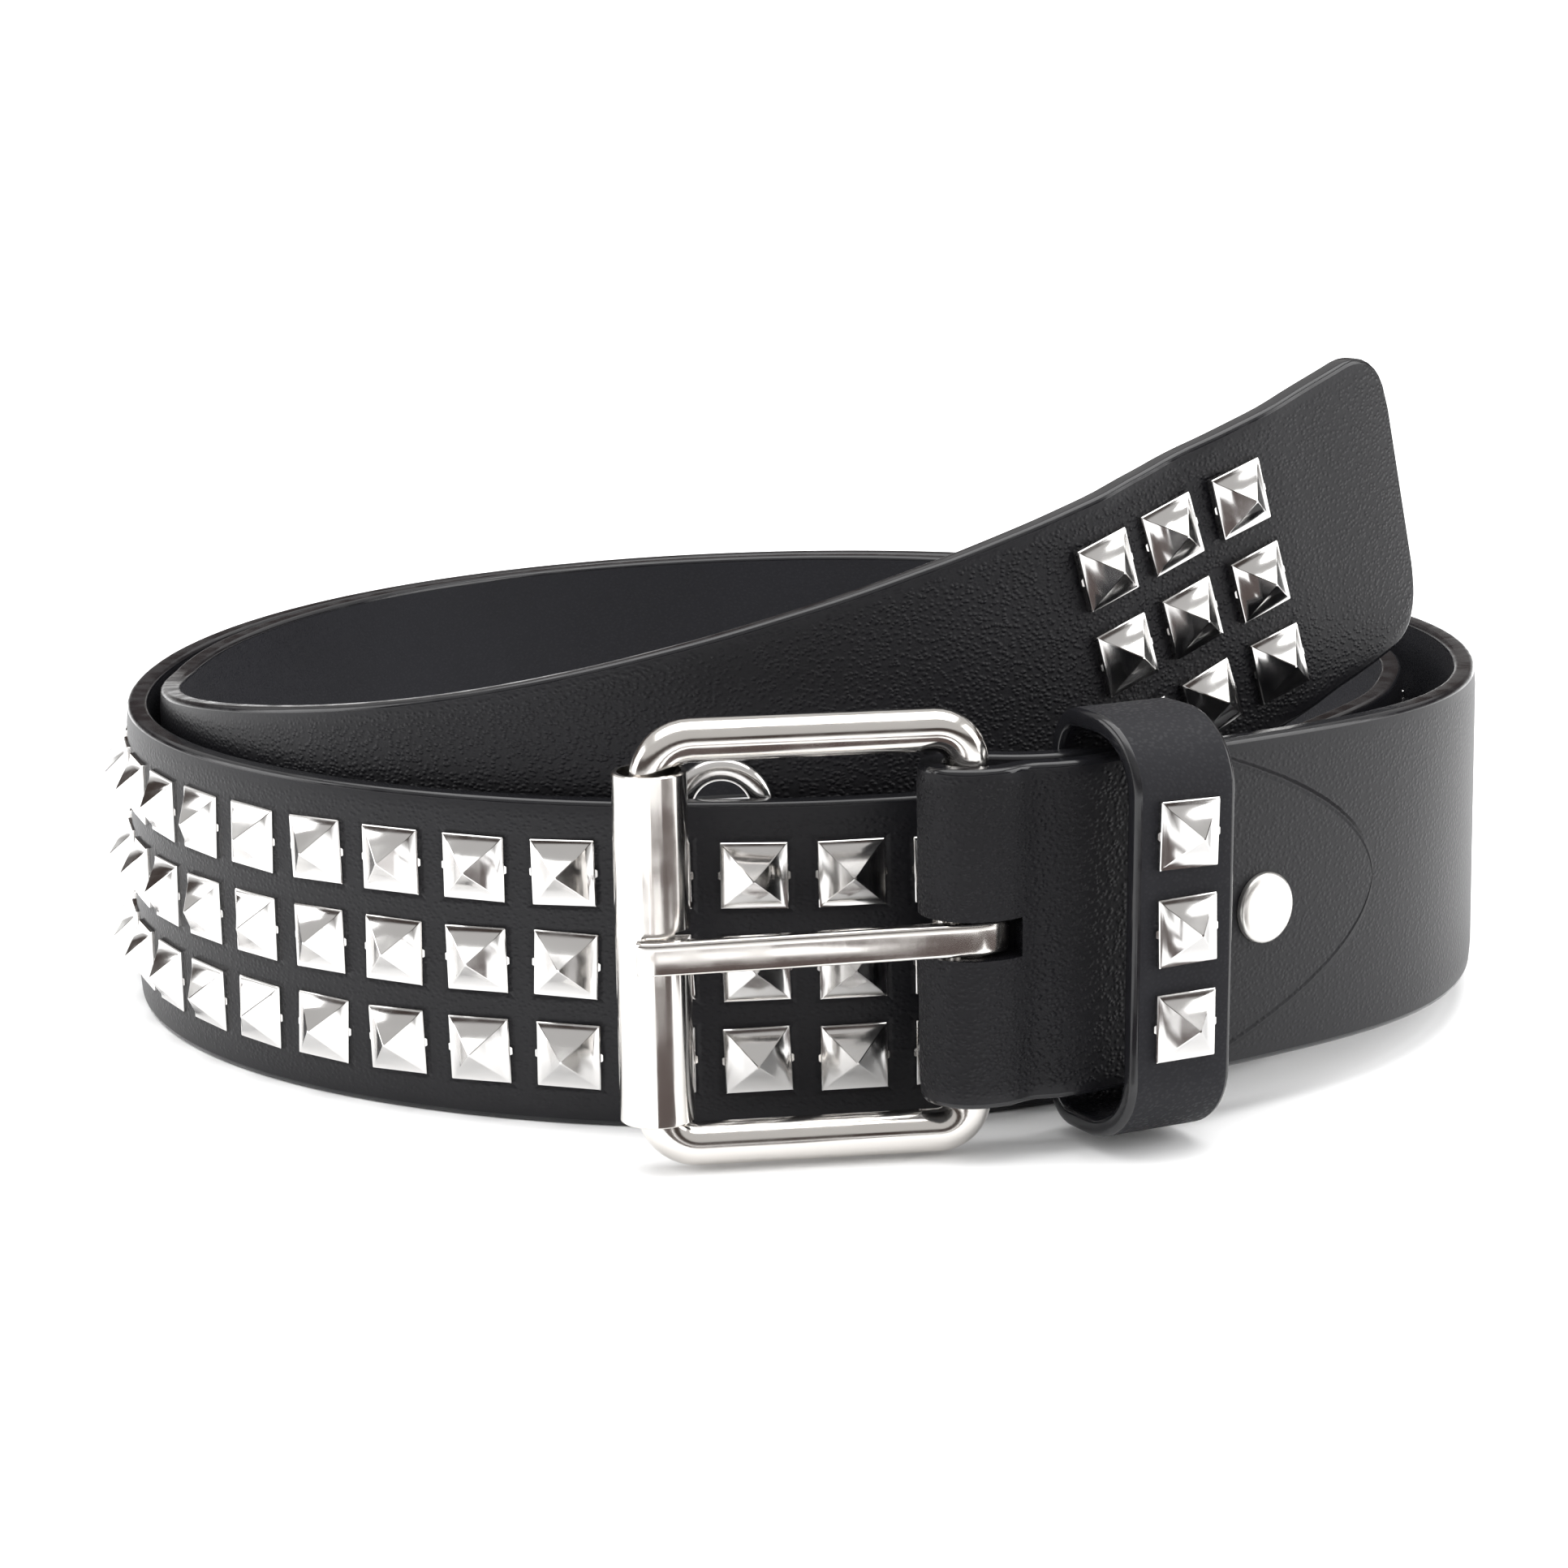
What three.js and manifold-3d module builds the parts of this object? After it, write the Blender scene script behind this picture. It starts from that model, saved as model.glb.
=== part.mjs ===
// Studded leather belt with a roller buckle, coiled two turns and standing on its lower edge.
// Millimetres, +Z up. The buckle faces -Y, and the free end rises over it to the right (+X).

import * as THREE from 'three';
import { mergeVertices } from 'three/addons/utils/BufferGeometryUtils.js';
import Module from 'manifold-3d';

const wasm = await Module();
wasm.setup();

// Strap
const strap_width = 38;
const strap_thick = 2.8;
const strap_bevel = 0.5;
const coil_radius = 92;
const ring_step = 8.5;
const fold_step = 1.85;
const end_corner = 6;
const tongue_length = 57;
const seat_gap = 0.3;

// Studs: square base with a short rim, and a four-sided point
const stud_base = 7.6;
const stud_rim = 0.5;
const stud_height = 3.2;
const stud_tip = 0.3;
const stud_sink = 0.6;
const stud_pitch = 10.7;
const row_pitch = 10.7;
const stud_rows = 3;
const stud_clearance = 0.5;
const field_first_turn = 65.2;
const field_last_turn = 398;

// Free end: three columns of studs, then the end; eyelets on the other side of them
const tip_columns = 3;
const tip_middle_turn = 665.8;
const tip_stud_gap = 0.45;
const end_past_studs = 27.6;
const eyelet_count = 5;
const eyelet_pitch = 25.4;
const eyelet_first_turn = 621.3;
const eyelet_bore = 6.5;
const eyelet_wall = 0.6;
const eyelet_flange = 2;
const eyelet_roll = 0.7;
const eyelet_lip = 0.3;
const eyelet_round = 0.5;
const eyelet_sides = 16;
const eyelet_back_room = 0.6;

// Buckle
const wire = 4.8;
const frame_side_gap = 1.2;
const frame_span = 34.6;
const bar_corner = 3.6;
const roller_corner = 4.5;
const frame_turn = -7;
const bar_turn = -81.3;
const floor_gap = 0.6;
const roller_outer = 8.2;
const roller_wall = 0.6;
const roller_end_gap = 0.7;
const roller_notch = 4.6;
const roller_sides = 28;
const prong_width = 3.7;
const prong_thick = 1.9;
const prong_bevel = 0.4;
const prong_past_roller = 2.2;
const slot_side_gap = 0.5;
const slot_end_gap = 1.4;

// Keeper and rivet, placed along the strap from the bar
const keeper_place = 19.5;
const keeper_width = 13;
const keeper_thick = 2.3;
const keeper_bevel = 0.4;
const keeper_slack = 2.5;
const keeper_front_room = 6.4;
const keeper_back_gap = 0.6;
const keeper_front_round = { deep: 8, tall: 7 };
const keeper_back_round = { deep: 3.6, tall: 4.5 };
const keeper_studs_rise = 0.9;
const rivet_place = 37.2;
const rivet_rise = -0.9;
const rivet_head = 8.2;
const rivet_tail = 7;
const rivet_round = 0.4;
const rivet_sides = 20;
const rivet_head_thick = 0.9;
const rivet_shank = 3.4;

// Worked out from the sizes above
const half_pair = (strap_thick + seat_gap) / 2;
const pair_back = strap_thick / 2 + seat_gap + strap_thick;
const fold_bend = wire / 2 + seat_gap + strap_thick / 2;
const stud_room = stud_height + stud_clearance;
const frame_inner = strap_width + 2 * frame_side_gap;
const frame_height = frame_inner + 2 * wire;
const buckle_rise = (frame_height - strap_width) / 2 + floor_gap;
const degree = Math.PI / 180;

// Outer turn, from the buckle round to the front again. turn is in degrees seen from above, 0 to the
// right and 90 to the back; reach is the outer face's share of the coil radius, and lift the lower
// edge's share of the rise at the buckle.
const outer_turn = [
  { turn: -82, reach: 1.095, lift: 1 },
  { turn: -70, reach: 1.07, lift: 0.95 },
  { turn: -60, reach: 1.041, lift: 0.89 },
  { turn: -40, reach: 1.007, lift: 0.72 },
  { turn: -20, reach: 0.945, lift: 0.54 },
  { turn: 0, reach: 0.901, lift: 0.38 },
  { turn: 20, reach: 0.883, lift: 0.24 },
  { turn: 45, reach: 0.916, lift: 0.1 },
  { turn: 70, reach: 0.97, lift: 0 },
  { turn: 90, reach: 0.995, lift: 0 },
  { turn: 110, reach: 0.999, lift: 0 },
  { turn: 135, reach: 0.985, lift: 0 },
  { turn: 160, reach: 0.972, lift: 0 },
  { turn: 180, reach: 0.979, lift: 0 },
  { turn: 200, reach: 1.002, lift: 0 },
  { turn: 220, reach: 1.003, lift: 0 },
  { turn: 240, reach: 0.978, lift: 0 },
  { turn: 260, reach: 0.948, lift: 0 },
  { turn: 280, reach: 0.918, lift: 0 },
  { turn: 300, reach: 0.878, lift: 0 },
];

// Inner turn and free end. inset is the room left outside the strap, as a share of the room that a
// stud needs, and rise the lower edge's height as a share of the strap's width.
const inner_turn = [
  { turn: 284, inset: 3.44, rise: 0 },
  { turn: 292, inset: 3.38, rise: 0 },
  { turn: 300, inset: 3.24, rise: 0 },
  { turn: 320, inset: 3.33, rise: 0 },
  { turn: 340, inset: 1.97, rise: 0 },
  { turn: 360, inset: 1.06, rise: 0 },
  { turn: 380, inset: 1.04, rise: 0 },
  { turn: 400, inset: 1.03, rise: 0 },
  { turn: 415, inset: 0.75, rise: 0 },
  { turn: 430, inset: 0.32, rise: 0 },
  { turn: 445, inset: 0.05, rise: 0 },
  { turn: 460, inset: 0, rise: 0 },
  { turn: 520, inset: 0, rise: 0 },
  { turn: 540, inset: 0.2, rise: 0 },
  { turn: 560, inset: 0.38, rise: 0.061 },
  { turn: 580, inset: 0.42, rise: 0.151 },
  { turn: 600, inset: 0.42, rise: 0.268 },
  { turn: 620, inset: 0.45, rise: 0.443 },
  { turn: 630, inset: 0.68, rise: 0.545 },
  { turn: 640, inset: 1.02, rise: 0.645 },
  { turn: 650, inset: 1.16, rise: 0.744 },
  { turn: 660, inset: 1.14, rise: 0.842 },
  { turn: 666, inset: 0.95, rise: 0.902 },
  { turn: 673, inset: 0.35, rise: 0.975 },
  { turn: 681, inset: -0.46, rise: 1.061 },
  { turn: 688, inset: -1.13, rise: 1.14 },
  { turn: 700, inset: -2.1, rise: 1.279 },
];

// Fold round the bar: how far each layer still stands off from the other, at places along the strap
// given in bend radii from the bar.
const fold_swell = [
  { along: 0, front: 1, back: 1 },
  { along: 0.6, front: 0.9, back: 0.93 },
  { along: 1.2, front: 0.45, back: 0.62 },
  { along: 1.6, front: 0.3, back: 0.38 },
  { along: 2.2, front: 0.42, back: 0.15 },
  { along: 3.0, front: 0.4, back: 0.04 },
  { along: 4.2, front: 0.12, back: 0 },
  { along: 5.4, front: 0, back: 0 },
];

// Tongue behind the strap: a rounded point. Both columns are shares of the strap's width.
const tongue_outline = [
  { from_nose: 0, half: 0.06 },
  { from_nose: 0.015, half: 0.105 },
  { from_nose: 0.05, half: 0.155 },
  { from_nose: 0.12, half: 0.21 },
  { from_nose: 0.25, half: 0.275 },
  { from_nose: 0.4, half: 0.35 },
  { from_nose: 0.55, half: 0.43 },
  { from_nose: 0.7, half: 0.49 },
  { from_nose: 0.78, half: 0.5 },
];

const leather = new THREE.MeshStandardMaterial({ color: 0x17171b, roughness: 0.55, metalness: 0 });
const nickel = new THREE.MeshStandardMaterial({ color: 0xd9d5cf, roughness: 0.16, metalness: 1 });

// Smooth curve through the rows of a table, with no bend at its ends
function tableCurve(rows, across, value) {
  const x = rows.map((row) => row[across]);
  const y = rows.map((row) => row[value]);
  const bend = new Array(x.length).fill(0);
  const sweep = new Array(x.length).fill(0);
  for (let i = 1; i < x.length - 1; i += 1) {
    const before = x[i] - x[i - 1];
    const after = x[i + 1] - x[i];
    const pivot = 2 * (before + after) - before * sweep[i - 1];
    sweep[i] = after / pivot;
    const change = 6 * ((y[i + 1] - y[i]) / after - (y[i] - y[i - 1]) / before);
    bend[i] = (change - before * bend[i - 1]) / pivot;
  }
  for (let i = x.length - 2; i > 0; i -= 1) {
    bend[i] -= sweep[i] * bend[i + 1];
  }
  return (at) => {
    const here = Math.min(Math.max(at, x[0]), x[x.length - 1]);
    let i = 1;
    while (i < x.length - 1 && here > x[i]) {
      i += 1;
    }
    const span = x[i] - x[i - 1];
    const a = (x[i] - here) / span;
    const b = 1 - a;
    const curve = ((a ** 3 - a) * bend[i - 1] + (b ** 3 - b) * bend[i]) * span * span / 6;
    return a * y[i - 1] + b * y[i] + curve;
  };
}

// Curve through the rows of a table that never overshoots them
function tableFlow(rows, across, value) {
  const x = rows.map((row) => row[across]);
  const y = rows.map((row) => row[value]);
  const grade = x.slice(1).map((next, i) => (y[i + 1] - y[i]) / (next - x[i]));
  const slope = x.map((_, i) => {
    const before = grade[Math.max(i - 1, 0)];
    const after = grade[Math.min(i, grade.length - 1)];
    return before * after > 0 ? 2 * before * after / (before + after) : 0;
  });
  return (at) => {
    const here = Math.min(Math.max(at, x[0]), x[x.length - 1]);
    let i = 1;
    while (i < x.length - 1 && here > x[i]) {
      i += 1;
    }
    const span = x[i] - x[i - 1];
    const b = (here - x[i - 1]) / span;
    const a = 1 - b;
    return y[i - 1] * a * a * (1 + 2 * b) + y[i] * b * b * (1 + 2 * a)
      + span * a * b * (a * slope[i - 1] - b * slope[i]);
  };
}

const outerReach = tableCurve(outer_turn, 'turn', 'reach');
const outerLift = tableFlow(outer_turn, 'turn', 'lift');
const innerInset = tableFlow(inner_turn, 'turn', 'inset');
const innerRise = tableCurve(inner_turn, 'turn', 'rise');
const handover = { first: inner_turn[0].turn, last: outer_turn[outer_turn.length - 1].turn };

// Radius of the strap's outer face. The inner turn lies inside the one before it.
function outerFace(turn) {
  if (turn <= handover.first) {
    return outerReach(turn) * coil_radius;
  }
  const before = outerFace(turn - 360);
  const inside = before - strap_thick - seat_gap - innerInset(turn) * stud_room;
  if (turn >= handover.last) {
    return inside;
  }
  const share = (turn - handover.first) / (handover.last - handover.first);
  const blend = share * share * (3 - 2 * share);
  return (1 - blend) * outerReach(turn) * coil_radius + blend * inside;
}

function lowerEdge(turn) {
  if (turn < handover.last) {
    return Math.max(outerLift(turn), 0) * buckle_rise;
  }
  return Math.max(innerRise(turn), 0) * strap_width;
}

// Middle of the strap's thickness and width at a turn
function middleAt(turn) {
  const radius = outerFace(turn) - strap_thick / 2;
  const angle = turn * degree;
  const height = lowerEdge(turn) + strap_width / 2;
  return new THREE.Vector3(radius * Math.cos(angle), radius * Math.sin(angle), height);
}

// The whole route once, one point a degree, with the length from the bar
const route = [];
for (let turn = bar_turn; turn <= inner_turn[inner_turn.length - 1].turn; turn += 1) {
  const point = middleAt(turn);
  const last = route[route.length - 1];
  const length = last ? last.length + point.distanceTo(last.point) : 0;
  route.push({ turn, point, length });
}

function lengthAt(turn) {
  const i = Math.min(Math.max(Math.floor(turn - bar_turn), 0), route.length - 2);
  const share = turn - route[i].turn;
  return route[i].length + share * (route[i + 1].length - route[i].length);
}

function turnAt(length) {
  let i = 1;
  while (i < route.length - 1 && route[i].length < length) {
    i += 1;
  }
  const share = (length - route[i - 1].length) / (route[i].length - route[i - 1].length);
  return route[i - 1].turn + share;
}

// Axes of the strap from a place and a heading: out is the grain side, up runs across the width
function axesFrom(point, heading) {
  const along = heading.clone().normalize();
  const out = new THREE.Vector3(along.y, -along.x, 0).normalize();
  const up = new THREE.Vector3().crossVectors(out, along);
  return { point: point.clone(), along, out, up };
}

function strapAt(length) {
  const turn = turnAt(length);
  const heading = middleAt(turn + 0.5).sub(middleAt(turn - 0.5));
  return axesFrom(middleAt(turn), heading);
}

function matrixAt(axes, lift) {
  const matrix = new THREE.Matrix4().makeBasis(axes.along, axes.up, axes.out);
  return matrix.setPosition(axes.point.clone().addScaledVector(axes.out, lift));
}

// Closed mesh from rings of equal length, with flat ends unless the rings close on themselves
function ringSolid(rings, closed) {
  const count = rings[0].length;
  const position = rings.flat().flatMap((p) => [p.x, p.y, p.z]);
  const index = [];
  const last = closed ? rings.length : rings.length - 1;
  for (let i = 0; i < last; i += 1) {
    const a = i * count;
    const b = ((i + 1) % rings.length) * count;
    for (let j = 0; j < count; j += 1) {
      const k = (j + 1) % count;
      index.push(a + j, a + k, b + k, a + j, b + k, b + j);
    }
  }
  if (!closed) {
    const end = (rings.length - 1) * count;
    for (let j = 1; j < count - 1; j += 1) {
      index.push(0, j + 1, j, end, end + j, end + j + 1);
    }
  }
  const geometry = new THREE.BufferGeometry();
  geometry.setAttribute('position', new THREE.Float32BufferAttribute(position, 3));
  geometry.setIndex(index);
  return faceOutward(geometry);
}

function signedVolume(geometry) {
  const p = geometry.attributes.position;
  const index = geometry.index;
  const a = new THREE.Vector3();
  const b = new THREE.Vector3();
  const c = new THREE.Vector3();
  let sum = 0;
  for (let i = 0; i < index.count; i += 3) {
    a.fromBufferAttribute(p, index.getX(i));
    b.fromBufferAttribute(p, index.getX(i + 1));
    c.fromBufferAttribute(p, index.getX(i + 2));
    sum += a.dot(b.cross(c));
  }
  return sum / 6;
}

function faceOutward(geometry) {
  if (signedVolume(geometry) < 0) {
    const turned = Array.from(geometry.index.array);
    for (let i = 0; i < turned.length; i += 3) {
      [turned[i], turned[i + 1]] = [turned[i + 1], turned[i]];
    }
    geometry.setIndex(turned);
  }
  return geometry;
}

// Bevelled rectangle: width along up, thickness along out
function bandRing(axes, half_width, half_thick, bevel) {
  const corner = Math.min(bevel, half_width / 2, half_thick / 2);
  const outline = [
    [half_width - corner, half_thick], [half_width, half_thick - corner],
    [half_width, corner - half_thick], [half_width - corner, -half_thick],
    [corner - half_width, -half_thick], [-half_width, corner - half_thick],
    [-half_width, half_thick - corner], [corner - half_width, half_thick],
  ];
  return outline.map(([across, through]) => axes.point.clone()
    .addScaledVector(axes.up, across).addScaledVector(axes.out, through));
}

function withHeadings(points) {
  return points.map((point, i) => {
    const before = points[Math.max(i - 1, 0)];
    const after = points[Math.min(i + 1, points.length - 1)];
    return axesFrom(point, after.clone().sub(before));
  });
}

// Shared vertices merged, so that a lathe closes at its seam, and its faces outward
function closedMesh(geometry) {
  const bare = geometry.clone();
  bare.deleteAttribute('normal');
  bare.deleteAttribute('uv');
  return faceOutward(mergeVertices(bare, 1e-4));
}

// Solids that are cut or joined
function toSolid(geometry) {
  const merged = closedMesh(geometry);
  return new wasm.Manifold(new wasm.Mesh({
    numProp: 3,
    vertProperties: new Float32Array(merged.attributes.position.array),
    triVerts: new Uint32Array(merged.index.array),
  }));
}

function fromSolid(solid) {
  const mesh = solid.getMesh();
  const geometry = new THREE.BufferGeometry();
  geometry.setAttribute('position', new THREE.Float32BufferAttribute(mesh.vertProperties, 3));
  geometry.setIndex(Array.from(mesh.triVerts));
  return geometry;
}

const belt = new THREE.Group();

function addPiece(name, geometry, material) {
  geometry.computeVertexNormals();
  const mesh = new THREE.Mesh(geometry, material);
  mesh.name = name;
  belt.add(mesh);
  return mesh;
}

// Pyramid stud with its base on the plane Z = 0, going down by sink where it is fused to leather
function studGeometry(sink) {
  const half = stud_base / 2;
  const square = (z) => [[-half, -half], [half, -half], [half, half], [-half, half]]
    .map(([x, y]) => new THREE.Vector3(x, y, z));
  const tip = stud_tip / 2;
  const point = [[-tip, -tip], [tip, -tip], [tip, tip], [-tip, tip]]
    .map(([x, y]) => new THREE.Vector3(x, y, stud_height));
  return ringSolid([square(-sink), square(stud_rim), point], false);
}

function rowOffset(row) {
  return (row - (stud_rows - 1) / 2) * row_pitch;
}

// Stud at a length along the strap and a distance from its middle line
function studOnStrap(length, across, lift, sink) {
  const axes = strapAt(length);
  axes.point.addScaledVector(axes.up, across);
  return studGeometry(sink).applyMatrix4(matrixAt(axes, strap_thick / 2 + lift));
}

// Strap: tongue, fold round the bar, outer turn, inner turn and free end, in one run
const bar_axes = strapAt(0);
const bar_point = bar_axes.point.clone().addScaledVector(bar_axes.out, -half_pair);
const swellFront = tableFlow(fold_swell, 'along', 'front');
const swellBack = tableFlow(fold_swell, 'along', 'back');
const swell_length = fold_swell[fold_swell.length - 1].along * fold_bend;
const tip_middle = lengthAt(tip_middle_turn);
const strap_end = tip_middle + (tip_columns - 1) / 2 * stud_pitch + end_past_studs;

function layerPoint(length, swell, side) {
  const axes = strapAt(length);
  const stand = half_pair + (fold_bend - half_pair) * swell(length / fold_bend);
  return axes.point.addScaledVector(axes.out, side * stand - half_pair);
}

function strapStations() {
  const stations = [];
  const fold_steps = 10;
  const tongueHalf = tableFlow(tongue_outline, 'from_nose', 'half');
  const tongue_rows = tongue_outline.map((row) => tongue_length - row.from_nose * strap_width);
  const lower = tongue_rows[tongue_rows.length - 1];
  const tongue_places = [...tongue_rows];
  for (let at = lower - ring_step; at > swell_length; at -= ring_step) {
    tongue_places.push(at);
  }
  for (let at = swell_length; at > fold_step / 2; at -= fold_step) {
    tongue_places.push(at);
  }
  for (const at of tongue_places) {
    const half = strap_width * tongueHalf((tongue_length - at) / strap_width);
    stations.push({ point: layerPoint(at, swellBack, -1), half });
  }
  for (let i = 0; i <= fold_steps; i += 1) {
    const angle = Math.PI * i / fold_steps;
    const point = bar_point.clone()
      .addScaledVector(bar_axes.out, -Math.cos(angle) * fold_bend)
      .addScaledVector(bar_axes.along, -Math.sin(angle) * fold_bend);
    stations.push({ point, half: strap_width / 2 });
  }
  const fine_count = Math.round(swell_length / fold_step);
  for (let i = 1; i <= fine_count; i += 1) {
    const at = swell_length * i / fine_count;
    stations.push({ point: layerPoint(at, swellFront, 1), half: strap_width / 2 });
  }
  const run = strap_end - end_corner - swell_length;
  const run_count = Math.round(run / ring_step);
  for (let i = 1; i <= run_count; i += 1) {
    const at = swell_length + run * i / run_count;
    stations.push({ point: middleAt(turnAt(at)), half: strap_width / 2 });
  }
  const corner_steps = 4;
  for (let i = 1; i <= corner_steps; i += 1) {
    const angle = 90 * degree * i / corner_steps;
    const at = strap_end - end_corner * (1 - Math.sin(angle));
    const half = strap_width / 2 - end_corner * (1 - Math.cos(angle));
    stations.push({ point: middleAt(turnAt(at)), half });
  }
  return stations;
}

function strapSolid() {
  const stations = strapStations();
  const axes = withHeadings(stations.map((station) => station.point));
  const rings = axes.map((place, i) =>
    bandRing(place, stations[i].half, strap_thick / 2, strap_bevel));
  let solid = toSolid(ringSolid(rings, false));
  const field_start = lengthAt(field_first_turn);
  const field_run = lengthAt(field_last_turn) - field_start;
  const columns = Math.floor(field_run / stud_pitch) + 1;
  const studs = [];
  for (let column = 0; column < columns; column += 1) {
    for (let row = 0; row < stud_rows; row += 1) {
      const at = field_start + column * stud_pitch;
      studs.push(toSolid(studOnStrap(at, rowOffset(row), 0, stud_sink)));
    }
  }
  solid = solid.add(wasm.Manifold.union(studs));
  for (let i = 0; i < eyelet_count; i += 1) {
    solid = solid.subtract(toSolid(crossHole(eyeletAxes(i), eyelet_hole / 2, strap_thick)));
  }
  solid = solid.subtract(toSolid(crossHole(rivetAxes(), rivet_shank / 2 + seat_gap, pair_back + strap_thick)));
  return solid.subtract(toSolid(slotBlock()));
}

function rivetAxes() {
  const axes = strapAt(rivet_place);
  axes.point.addScaledVector(axes.up, rivet_rise);
  return axes;
}

// Round cutter through the strap
function crossHole(axes, radius, reach) {
  const cutter = new THREE.CylinderGeometry(radius, radius, 2 * reach, 16);
  cutter.rotateX(Math.PI / 2);
  return cutter.applyMatrix4(matrixAt(axes, 0));
}

const eyelet_hole = eyelet_bore + 2 * eyelet_wall + 2 * seat_gap;

function eyeletAxes(i) {
  return strapAt(lengthAt(eyelet_first_turn) - i * eyelet_pitch);
}

// Slot for the prong, through both layers of the fold
function slotBlock() {
  const right = wire / 2 + seat_gap + prong_thick + slot_end_gap;
  const left = fold_bend + strap_thick;
  const block = new THREE.BoxGeometry(right + left, prong_width + 2 * slot_side_gap, 2 * left);
  block.translate((right - left) / 2, 0, 0);
  const axes = { ...bar_axes, point: bar_point };
  return block.applyMatrix4(matrixAt(axes, 0));
}

addPiece('strap', fromSolid(strapSolid()), leather);

// Studs near the free end
for (let column = 0; column < tip_columns; column += 1) {
  for (let row = 0; row < stud_rows; row += 1) {
    const at = tip_middle + (column - (tip_columns - 1) / 2) * stud_pitch;
    const stud = studOnStrap(at, rowOffset(row), tip_stud_gap, 0);
    addPiece(`tip_stud_${column + 1}_${row + 1}`, stud, nickel);
  }
}

// Eyelets: a barrel through the strap with a rolled flange on both faces
function eyeletGeometry() {
  const bore = eyelet_bore / 2;
  const barrel = bore + eyelet_wall;
  const rim = barrel + eyelet_flange;
  const front = strap_thick / 2 + seat_gap;
  const back = -strap_thick / 2 - seat_gap - eyelet_back_room;
  const profile = [
    [bore, back - eyelet_lip], [barrel, back - eyelet_roll], [rim - eyelet_round, back - eyelet_roll],
    [rim, back], [barrel, back], [barrel, front], [rim, front],
    [rim - eyelet_round, front + eyelet_roll], [barrel, front + eyelet_roll], [bore, front + eyelet_lip],
    [bore, back - eyelet_lip],
  ].map(([x, y]) => new THREE.Vector2(x, y));
  const ring = new THREE.LatheGeometry(profile, eyelet_sides);
  ring.rotateX(Math.PI / 2);
  return ring;
}

for (let i = 0; i < eyelet_count; i += 1) {
  const ring = closedMesh(eyeletGeometry());
  addPiece(`eyelet_${i + 1}`, ring.applyMatrix4(matrixAt(eyeletAxes(i), 0)), nickel);
}

// Buckle axes: aside runs from the bar to the roller, out is the buckle's front
const aside = bar_axes.along.clone().setZ(0).normalize().negate()
  .applyAxisAngle(new THREE.Vector3(0, 0, 1), frame_turn * degree);
const buckle_out = new THREE.Vector3(-aside.y, aside.x, 0);
const upright = new THREE.Vector3(0, 0, 1);

function buckleMatrix(distance) {
  const matrix = new THREE.Matrix4().makeBasis(aside, buckle_out, upright);
  return matrix.setPosition(bar_point.clone().addScaledVector(aside, distance));
}

// Frame: round wire bent to a rectangle with rounded corners
function frameGeometry() {
  const wire_sides = 12;
  const corner_steps = 5;
  const half = (frame_height - wire) / 2;
  const low = -half;
  const corners = [
    { x: bar_corner, y: low + bar_corner, radius: bar_corner, from: 180 },
    { x: frame_span - roller_corner, y: low + roller_corner, radius: roller_corner, from: 270 },
    { x: frame_span - roller_corner, y: half - roller_corner, radius: roller_corner, from: 0 },
    { x: bar_corner, y: half - bar_corner, radius: bar_corner, from: 90 },
  ];
  const rings = [];
  for (const corner of corners) {
    for (let step = 0; step <= corner_steps; step += 1) {
      const angle = (corner.from + 90 * step / corner_steps) * degree;
      const toward = new THREE.Vector3(Math.cos(angle), 0, Math.sin(angle));
      const centre = new THREE.Vector3(corner.x, 0, corner.y).addScaledVector(toward, corner.radius);
      const ring = [];
      for (let side = 0; side < wire_sides; side += 1) {
        const around = 2 * Math.PI * side / wire_sides;
        ring.push(centre.clone().addScaledVector(toward, Math.cos(around) * wire / 2)
          .add(new THREE.Vector3(0, Math.sin(around) * wire / 2, 0)));
      }
      rings.push(ring);
    }
  }
  return ringSolid(rings, true);
}

addPiece('frame', frameGeometry().applyMatrix4(buckleMatrix(0)), nickel);

// Roller: thin tube with a shallow notch on its inner side at the prong
function rollerGeometry() {
  const outer = roller_outer / 2;
  const inner = outer - roller_wall;
  const half = frame_inner / 2 - roller_end_gap;
  const profile = [[inner, -half], [outer, -half], [outer, half], [inner, half], [inner, -half]]
    .map(([x, y]) => new THREE.Vector2(x, y));
  const tube = new THREE.LatheGeometry(profile, roller_sides);
  tube.rotateX(Math.PI / 2);
  const notch = new THREE.BoxGeometry(outer, outer, roller_notch);
  notch.translate(-outer, 0, 0);
  return fromSolid(toSolid(tube).subtract(toSolid(notch)));
}

addPiece('roller', rollerGeometry().applyMatrix4(buckleMatrix(frame_span)), nickel);

// Prong: flat bar from the roller to the bar, curled round the bar inside the fold
function prongGeometry() {
  const half_thick = prong_thick / 2;
  const curl = wire / 2 + seat_gap + half_thick;
  const over = roller_outer / 2 + seat_gap + half_thick;
  const points = [];
  const curl_from = 130;
  const curl_steps = 12;
  for (let i = 0; i <= curl_steps; i += 1) {
    const angle = (curl_from + (360 - curl_from) * i / curl_steps) * degree;
    points.push([Math.sin(angle) * curl, Math.cos(angle) * curl]);
  }
  const tip_steps = 3;
  const tip_angle = Math.asin(prong_past_roller / over);
  for (let i = 0; i <= tip_steps; i += 1) {
    const angle = tip_angle * i / tip_steps;
    points.push([frame_span + Math.sin(angle) * over, Math.cos(angle) * over]);
  }
  const rings = points.map(([x, y], i) => {
    const before = points[Math.max(i - 1, 0)];
    const after = points[Math.min(i + 1, points.length - 1)];
    const along = new THREE.Vector3(after[0] - before[0], after[1] - before[1], 0).normalize();
    const out = new THREE.Vector3(-along.y, along.x, 0);
    const axes = { point: new THREE.Vector3(x, y, 0), out, up: upright };
    return bandRing(axes, prong_width / 2, half_thick, prong_bevel);
  });
  return ringSolid(rings, false);
}

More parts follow.
